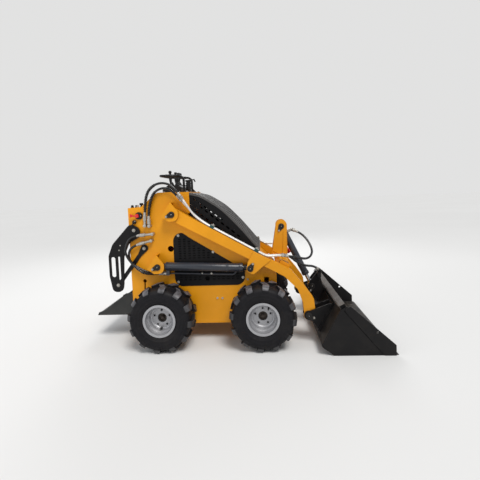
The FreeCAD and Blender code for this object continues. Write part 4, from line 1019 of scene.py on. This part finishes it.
def welds():
    body = kit("chassis_welds", "chassis", "paint_yellow", mirror=True)
    for x, z in (ARM_PIVOT, LIFT_BASE):
        flat_welds(body, [
            (PLATE_Y - 1, 3.6, [(x - 76, z - 12), (x - 6, z + 88)]),
            (EAR_Y + 9, 3, [(x - 75, z - 13), (x - 70, z - 5)]),
        ])
    arms = kit("arm_welds", "lift_arm", "paint_yellow", mirror=True)
    flat_welds(arms, [
        (ARM_Y - 1, 3.2, [(417, 597), (299, 662), (256, 580)]),
        (ARM_Y - 1, 3.2, [(417, 597), (363, 556)]),
        (CROSS_WELD_Y, 3.6, [(447, 527), (471, 487), (511, 467)]),
        (CROSS_WELD_Y, 3.6, [(500, 599), (541, 579), (565, 538)]),
        (ARM_Y - 0.5, 2.6, [along(BUCKET_PIVOT, 9 * k, 33) for k in range(41)]),
    ])
    weld_bead(arms, [(444, -38.5, 613), (448, -49, 611), (546, -49, 555)])
    shell = kit("bucket_welds", "bucket", "paint_black", mirror=True)
    flat_welds(shell, [
        (-532, 3.6, [(852, 300), (726, 66)]),
        (-532, 3.2, [(735, 52), (802, 2)]),
        (-531, 3.8, [(862, 296), (738, 66), (800, 12), (1118, 12)]),
    ])
    # painted shadow: a very dark bead along this seam on each side stands for the shadow line at its edge
    seam_shadow = kit("bucket_seam_shadow", "bucket", "shade_black", mirror=True)
    flat_welds(seam_shadow, [(-537.4, 3.2, [(868, 296), (1115, 3)])])
    flat_welds(shell, [
        (-363, 3.6, [(733, 108), (788, 209)]),
        (-349, 3.6, [(733, 108), (788, 209)]),
        (-531, 3.4, [(738, 92), (850, 298)]),
    ])


welds()


# Hydraulics: clamps, elbows, glands

CLAMP = [(-15, 0), (15, 0), (15, 19), (12, 22), (-12, 22), (-15, 19)]
CLAMP_PLATE = [(-14, 22), (14, 22), (14, 25), (-14, 25)]
# where each elbow leaves the plate and where its hose starts, (x, z)
ELBOWS = [
    ((-427, 803), (-512, 797)), ((-438, 755), (-518, 735)),
    ((-478, 865), (-474, 932)), ((-446, 862), (-446, 905)),
]
LIFT_GLAND = [(31.2, 580), (32.6, 582), (32.6, 603), (31, 606), (20, 607.5)]
LIFT_COLLAR = [(26, 50), (31.5, 54), (31.5, 62)]
LIFT_BAND = [(31.0, 486), (31.0, 506)]
LIFT_NECK = [(18, 611), (21, 615), (21, 632), (24, 640)]
PORT_SLEEVE = [(8.6, -34.4), (10.9, -32), (10.9, -11), (9.2, -9.8)]
TILT_GLAND = [(27.6, 410), (29, 412), (29, 431), (27.5, 434), (17, 435.5)]
TILT_COLLAR = [(23, 48), (27.8, 52), (27.8, 60)]
TILT_PORT = [(12, 20), (12, 31), (10.5, 32.5)]
TILT_NUT_SLOPE = -23.3
ELBOW_BALL = 11.5
COUPLING = [(14, 0), (14, 14), (11, 15), (11, 22), (15, 23), (15, 40)]
COUPLING_CAP = [(20, 38), (21, 41), (21, 60), (18, 64)]


def tube_clamps():
    """Twin pipe clamps of dark teal plastic, each with a zinc top plate and a bolt."""
    teal = kit("pipe_clamps", "lift_arm", "clamp_teal", mirror=True)
    zinc = kit("pipe_clamp_plates", "lift_arm", "bolt_zinc", mirror=True)
    for distance in (290, 645):
        foot = along(ARM_PIVOT, ARM_SLOPE, distance, 44.2)
        for bm, outline, y_low, y_high in ((teal, CLAMP, -296, -341), (zinc, CLAMP_PLATE, -297, -340)):
            prism(bm, [along(foot, ARM_SLOPE, d, h) for d, h in outline], y_low, y_high)
        x, z = along(foot, ARM_SLOPE, 0, 25)
        bolt(zinc, at(x, -318, z), heading(ARM_SLOPE + 90), 11, 6, 1.5)


def elbow_nuts():
    """Hexagons and sealing rings on the elbows that leave the side plate."""
    zinc = kit("elbow_nuts", "chassis", "bolt_zinc", mirror=True)
    for inner, outer in ELBOWS:
        start, end = at(inner[0], ELBOW_Y, inner[1]), at(outer[0], ELBOW_Y, outer[1])
        reach = (end - start).length * 1000
        hexagon(zinc, start, (end - start).normalized(), 20, reach - 22, reach - 8)
        plate = at(inner[0], PLATE_Y, inner[1])
        hexagon(zinc, plate, OUT, 21, 0, 8)
        turn(zinc, [(9.5, 36), (9.5, 39), (7, 40.5)], plate, OUT)


ARM_LINES = [
    # y, rear end (x, z)
    (-330.0, (-202, 1067)), (-306.0, (-214, 1050)),
]
LINE_RADIUS = 7.0
LINE_RISE = 52.3
LINE_BEND = 34.0


def eased(points, bend):
    """A path through points with its corners rounded off."""
    path = [points[0]]
    for before, corner, after in zip(points, points[1:], points[2:]):
        reach = min(bend, (corner - before).length * 0.45, (after - corner).length * 0.45)
        a = corner + (before - corner).normalized() * reach
        b = corner + (after - corner).normalized() * reach
        for k in range(9):
            share = k / 8
            path.append(a.lerp(corner, share).lerp(corner.lerp(b, share), share))
    return path + [points[-1]]


def arm_lines():
    """The steel lines on the arms, with finer bends than the plain ones, and their end nuts."""
    lines = kit("arm_lines", "lift_arm", "galvanised", True, ("arm_tubes",))
    nuts = kit("arm_line_nuts", "lift_arm", "bolt_zinc", mirror=True)
    for y, rear in ARM_LINES:
        start, end = (along(ARM_PIVOT, ARM_SLOPE, reach, LINE_RISE) for reach in (235, 728))
        points = [at(x, y, z) for x, z in (rear, (-110, 926), start, end)]
        points += [at(456, y + 20, 621), at(518, y + 40, 616)]
        tube_along(lines, eased(points, LINE_BEND / 1000), LINE_RADIUS / 1000, around=20)
        for tip, before in ((points[0], points[1]), (points[-1], points[-2])):
            way = (tip - before).normalized()
            hexagon(nuts, tip, way, 21, -20, -3)
            turn(nuts, [(9.6, -28), (9.6, -20)], tip, way)


def cylinder_details(side, sign):
    """Gland, collar, band, clamps, port fittings and rod neck of a lift cylinder."""
    axis = heading(slope_between(LIFT_BASE, LIFT_EYE))
    down = -left_of(axis)
    out = Vector((0, sign, 0))
    base = at(LIFT_BASE[0], sign * LIFT_Y, LIFT_BASE[1])
    black = kit(f"lift_gland_{side}", f"lift_barrel_{side}", "cylinder_black")
    for profile in (LIFT_GLAND, LIFT_COLLAR, LIFT_BAND):
        turn(black, profile, base, axis, around=48)
    zinc = kit(f"lift_clamp_{side}", f"lift_barrel_{side}", "bolt_zinc")
    neck = kit(f"lift_rod_neck_{side}", f"lift_rod_{side}", "pin_black")
    turn(neck, LIFT_NECK, base, axis, around=32)
    for reach, across in ((0.383, 8), (0.316, 5)):
        clamp = base + axis * reach
        turn(black, [(31.0, -6), (31.0, 6)], clamp, axis, around=48)
        bolt(zinc, clamp + down * 0.044 + out * 0.012, out, across, 4, 1)
    for aside in (0.008, -0.014):
        turn(zinc, PORT_SLEEVE, base + axis * 0.068 + down * 0.052 + out * aside, axis, around=32)


def tilt_details():
    """Gland, collar, ports and elbow of the bucket's cylinder, and the far-side couplings."""
    axis = heading(slope_between(TILT_BASE, TILT_EYE))
    across = left_of(axis)
    base = at(TILT_BASE[0], 0, TILT_BASE[1])
    barrel = kit("tilt_gland", "tilt_barrel", "cylinder_black")
    for profile in (TILT_GLAND, TILT_COLLAR):
        turn(barrel, profile, base, axis, around=48)
    ports = kit("tilt_port", "tilt_barrel", "bolt_zinc")
    for reach, way in ((0.064, across), (0.330, -OUT)):
        turn(ports, TILT_PORT, base + axis * reach, way)
    corner = base + axis * 0.064 + across * 0.062
    turn(ports, [(10.5, -30), (10.5, 0)], corner, across)
    half_turn = [math.radians(a) for a in range(0, 181, 12)]
    turn(ports, [(ELBOW_BALL * math.sin(a), -ELBOW_BALL * math.cos(a)) for a in half_turn], corner, UP)
    hexagon(ports, corner, heading(TILT_NUT_SLOPE), 24.8, 6, 24.4)
    couplings = kit("couplings", "lift_arm", "bolt_zinc")
    caps = kit("coupling_caps", "lift_arm", "switch_red")
    way = Vector((0.80, 0, 0.6)).normalized()
    for y in (92, 134):
        turn(couplings, COUPLING, at(532, y, 556), way)
        turn(caps, COUPLING_CAP, at(532, y, 556), way)
    prism(couplings, [(520, 560), (534, 552), (546, 570), (532, 578)], 66, 160)


tube_clamps()
elbow_nuts()
arm_lines()
for side, sign in SIDES:
    cylinder_details(side, sign)
tilt_details()


# Bucket lip, step tread, switch

LIP = [(839.4, 322.3), (854.8, 290.4), (889.8, 307.8), (874.3, 340.7)]
TREAD_PITCH = (28, 29)
LOZENGE = [(-11, 0), (-5, 2.6), (5, 2.6), (11, 0), (5, -2.6), (-5, -2.6)]
SWITCH = (-527.0, PLATE_Y, 937.0)
SWITCH_KNOB = (-536.0, PLATE_Y, 937.0)
SWITCH_DISC = [(27, 0), (27, 9), (24, 13), (17, 14), (16, 17)]
SWITCH_KEY = [(0, -5), (24, -4), (40, -11), (52, -12), (49, 0), (52, 12), (40, 11), (24, 4), (0, 5)]


def bucket_lip():
    """The square tube along the bucket's lip: bare primer with its seam weld."""
    lip = kit("lip_skin", "bucket", "lip_steel")
    for y_low, y_high in ((-530.6, -100.6), (-99.4, 530.6)):
        prism(lip, LIP, y_low, y_high)
    weld_bead(kit("lip_welds", "bucket", "lip_steel"), [(837, -520, 318), (837, 520, 318)], 2.4)
    x_mid, z_mid = (sum(c) / 4 for c in zip(*LIP))
    # painted shade: a black plate in each open end of the tube stands for the shade inside it
    hollow = [(x_mid + 0.78 * (x - x_mid), z_mid + 0.78 * (z - z_mid)) for x, z in LIP]
    prism(kit("lip_end_shade", "bucket", "shade_black", mirror=True), hollow, -530, -531.2)


def step_tread():
    """Raised lozenges over the step, each turned the other way from its neighbours."""
    bm = kit("step_tread", "chassis", "paint_black")
    for i in range(9):
        for j in range(15):
            a = math.radians(45 if (i + j) % 2 else -45)
            ahead = Vector((math.cos(a), math.sin(a), 0))
            aside = Vector((-math.sin(a), math.cos(a), 0))
            centre = at(-882 + TREAD_PITCH[0] * i, -204 + TREAD_PITCH[1] * j, STEP_TOP)
            low, high = [], []
            for d, w in LOZENGE:
                low.append(bm.verts.new(centre + (ahead * d + aside * w) / 1000))
                drawn_in = (ahead * d * 0.75 + aside * w * 0.55) / 1000
                high.append(bm.verts.new(centre + drawn_in + UP * 0.0016))
            skin(bm, [low, high], capped=True)


def battery_switch():
    """The isolator: a black disc with an off-centre red knob, its red key, and a cable boot below."""
    black = bmesh.new()
    turn(black, SWITCH_DISC, at(*SWITCH), OUT, around=48)
    boot = at(-563, PLATE_Y, 893)
    turn(black, [(14, 0), (14, 10), (10, 13), (9, 19)], boot, OUT)
    cable = [boot + Vector(p) for p in ((0, -0.016, 0), (-0.012, -0.03, -0.02), (-0.016, 0.004, -0.05))]
    tube_along(black, smooth_line(cable), 0.005, around=12)
    disc = new_piece("battery_switch_disc", black, "control_black")
    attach(disc, "chassis")
    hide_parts("battery_switch")
    red = kit("battery_switch_key", "chassis", "switch_red")
    turn(red, [(15, 15), (15, 22), (13, 27), (8, 29)], at(*SWITCH_KNOB), OUT, around=28)
    key = [along(SWITCH_KNOB[::2], 176, d, h) for d, h in SWITCH_KEY]
    prism(red, key, -300, -307)
    pale = kit("battery_switch_screw", "chassis", "bolt_zinc")
    turn(pale, [(4.5, 14), (4.5, 18), (3, 20)], at(-509, PLATE_Y, 938), OUT)
    turn(pale, [(3.5, 10), (3.5, 20)], boot + Vector((0.01, 0, 0.006)), OUT)


bucket_lip()
step_tread()
battery_switch()


# Console: gauges, knobs, grips; service door

GAUGE = [(24, 0), (24, 4), (22, 6.5), (19.5, 6.5), (19, 4.5)]
KNOB = [(11, 0), (11, 8), (6, 9), (6, 15), (14, 17), (14, 30), (12, 33)]
BUTTON = [(13, 0), (13, 5), (10, 6), (10, 17), (8, 19)]
SHELF_CONTROLS = [
    (GAUGE, -560, -60), (GAUGE, -560, 60), (KNOB, -532, -205), (BUTTON, -565, -215),
    (BUTTON, -594, -225), (KNOB, -560, 150), (BUTTON, -560, 205),
]
# y, foot's x, knob's x, height
LEVERS = [(-84, -326, -334, 98), (-28, -290, -282, 84)]
LEVER_KNOB = [(6.5, -7), (9, -4), (12.4, 3), (13.2, 7), (12.4, 10.5), (8.5, 15), (0, 16.6)]
DOOR_HALF = 205.0
DOOR_Z = (470.0, 930.0)
DOOR_CORNER = 24.0
DOOR_PROUD = 3.0
VENT = [(-38, 0), (-32, 5), (32, 5), (38, 0), (32, -5), (-32, -5)]


def console_details():
    zinc = kit("console_bolts", "chassis", "bolt_zinc", mirror=True)
    for x in (-348, -176):
        bolt(zinc, at(x, -225, 1098), UP, 12, 6)
    for x in (-374, -256):
        bolt(zinc, at(x, -122, 1097.6), UP, 10, 5)
    dark = kit("panel_controls", "chassis", "control_black")
    for profile, x, y in SHELF_CONTROLS:
        turn(dark, profile, at(x, y, SHELF_TOP), UP, around=28)
    pale = kit("panel_key", "chassis", "bolt_zinc")
    turn(pale, [(9, 0), (9, 12), (6, 14), (6, 20)], at(-548, -238, SHELF_TOP), UP)
    turn(pale, [(5, 18), (5, 21)], at(-594, -225, SHELF_TOP), UP)
    grips = kit("hand_grips", "chassis", "control_black", mirror=True)
    tube_along(grips, resampled([at(-262, -150, 1223.1), at(-352, -150, 1227.0)], 0.003),
               lambda t: 0.0112 + 0.0006 * math.sin(t * 90), around=18)
    for y, foot, x, height in LEVERS:
        sleeve = [(foot - 5, 1178), (foot - 9, 1154 + 0.55 * height), (x, 1151 + height)]
        tube_along(grips, resampled(smooth_line([at(a, y, z) for a, z in sleeve]), 0.004),
                   lambda t: 0.0088 + 0.0028 * math.sin(math.pi * min(1, 1.25 * t)), around=16)
        turn(grips, LEVER_KNOB, at(x, y, 1154 + height), UP)


def panel_shade_sheet():
    """A dark sheet behind each slotted side panel: painted shade, so that the slots read dark."""
    shade_sheet = kit("panel_shade_sheet", "chassis", "shade_black", mirror=True)
    outline = [(-278, 416), (224, 416), (224, 528), (161, 560), (-159, 756), (-214, 796), (-278, 796)]
    prism(shade_sheet, outline, -268, -270)


def rear_plate(bm, outline, low, high):
    """A (y, z) outline raised from the rear wall, between two heights over it."""
    base, face = ([bm.verts.new(at(REAR_X - h, y, z)) for y, z in outline] for h in (low, high))
    join_rings(bm, base, face)
    bm.faces.new(face)


def door_outline():
    """The rear door's rounded outline of (y, z) points."""
    outline = []
    low, high = DOOR_Z
    corners = ((-DOOR_HALF, low), (DOOR_HALF, low), (DOOR_HALF, high), (-DOOR_HALF, high))
    for k, (y, z) in enumerate(corners):
        cy = y - math.copysign(DOOR_CORNER, y)
        cz = z + DOOR_CORNER if z == low else z - DOOR_CORNER
        for m in range(7):
            a = math.radians(180 + 90 * k + 15 * m)
            outline.append((cy + DOOR_CORNER * math.cos(a), cz + DOOR_CORNER * math.sin(a)))
    return outline


def rear_door():
    """The service door in the rear wall, with its bolts, latch and vents."""
    rear_plate(kit("rear_door", "chassis", "paint_yellow"), door_outline(), 0, DOOR_PROUD)
    zinc = kit("rear_door_bolts", "chassis", "bolt_zinc")
    for y in (-180, 180):
        for z in (500, 700, 900):
            bolt(zinc, at(REAR_X - DOOR_PROUD, y, z), -AHEAD, 10, 5)
    dark = kit("rear_door_latch", "chassis", "control_black")
    turn(dark, [(24, 0), (24, 4), (20, 7), (10, 7), (9, 4)], at(REAR_X - DOOR_PROUD, 0, 870), -AHEAD)
    for row in range(7):
        for y in (-100, 0, 100):
            slot = [(y + dy, 560 + 26 * row + dz) for dy, dz in VENT]
            rear_plate(dark, slot, DOOR_PROUD - 1, DOOR_PROUD + 0.4)


def bracket_strips():
    """Stiffening strips on the tilt bracket's cheeks."""
    strips = kit("bracket_strips", "lift_arm", "paint_yellow", mirror=True)
    prism(strips, [(512, 545), (532, 545), (549, 602), (553, 760), (529, 760), (519, 600)], -48, -52)
    weld_bead(strips, [(511, -49, 547), (518, -49, 600), (528, -49, 762)], 2.4)


console_details()
panel_shade_sheet()
rear_door()
bracket_strips()
finish_kits()


# Stage


def add_floor():
    bm = bmesh.new()
    bmesh.ops.create_grid(bm, x_segments=1, y_segments=1, size=60)
    s = Surface("floor_pale")
    tone = s.patches(0.35, 2, 0.5, 0.3, 0.7)
    s.finish(Base_Color=s.mix(tone, (0.72, 0.72, 0.715), (0.735, 0.735, 0.73)), Roughness=0.95,
             Specular_IOR_Level=0.1)
    mesh = bpy.data.meshes.new("floor")
    bm.to_mesh(mesh)
    bm.free()
    mesh.materials.append(s.material)
    linked("floor", mesh)


def add_lamp(name, kind, place, target, colour, **settings):
    """A lamp that shines from a place towards a target."""
    data = bpy.data.lights.new(name, kind)
    data.color = colour
    for key, value in settings.items():
        setattr(data, key, value)
    lamp = linked(name, data)
    lamp.location = place
    lamp.rotation_mode = "QUATERNION"
    lamp.rotation_quaternion = (Vector(target) - Vector(place)).to_track_quat("-Z", "Y")


def add_world(strength):
    """Soft light all round, over a pale backdrop that only the camera sees."""
    world = bpy.data.worlds.new("studio")
    bpy.context.scene.world = world
    world.use_nodes = True
    tree = world.node_tree
    tree.nodes.clear()
    out, light, seen, pick, path = (
        tree.nodes.new(f"ShaderNode{kind}")
        for kind in ("OutputWorld", "Background", "Background", "MixShader", "LightPath")
    )
    light.inputs[0].default_value = (0.95, 0.97, 1.0, 1)
    light.inputs[1].default_value = strength
    seen.inputs[0].default_value = (0.76, 0.76, 0.757, 1)
    tree.links.new(path.outputs["Is Camera Ray"], pick.inputs[0])
    tree.links.new(light.outputs[0], pick.inputs[1])
    tree.links.new(seen.outputs[0], pick.inputs[2])
    tree.links.new(pick.outputs[0], out.inputs[0])


def add_camera():
    """The photograph's camera, solved from the wheels."""
    data = bpy.data.cameras.new("camera")
    data.sensor_width = 36.0
    data.lens = 25.347
    data.shift_x = -0.00104
    data.shift_y = -0.0542
    data.clip_end = 100
    camera = linked("camera", data)
    camera.location = at(373.3, -2690.5, 1055.9)
    camera.rotation_euler = [math.radians(a) for a in (86.85173, 2.33973, 3.62098)]
    bpy.context.scene.camera = camera


add_floor()
add_lamp("key", "SUN", (1.2, -2.2, 3.6), (0, 0, 0), (1.0, 0.98, 0.95), energy=2.2, angle=math.radians(24))
add_lamp("fill", "AREA", (-3.6, -2.6, 2.4), (0, 0, 0.5), (0.95, 0.97, 1.0), energy=36, shape="DISK",
         size=3.2)
add_lamp("rim", "AREA", (-0.6, 3.8, 3.4), (0, 0, 0.6), (1, 1, 1), energy=60, shape="DISK", size=2.6)
add_world(0.5)
add_camera()
bpy.context.scene.view_settings.view_transform = "Standard"
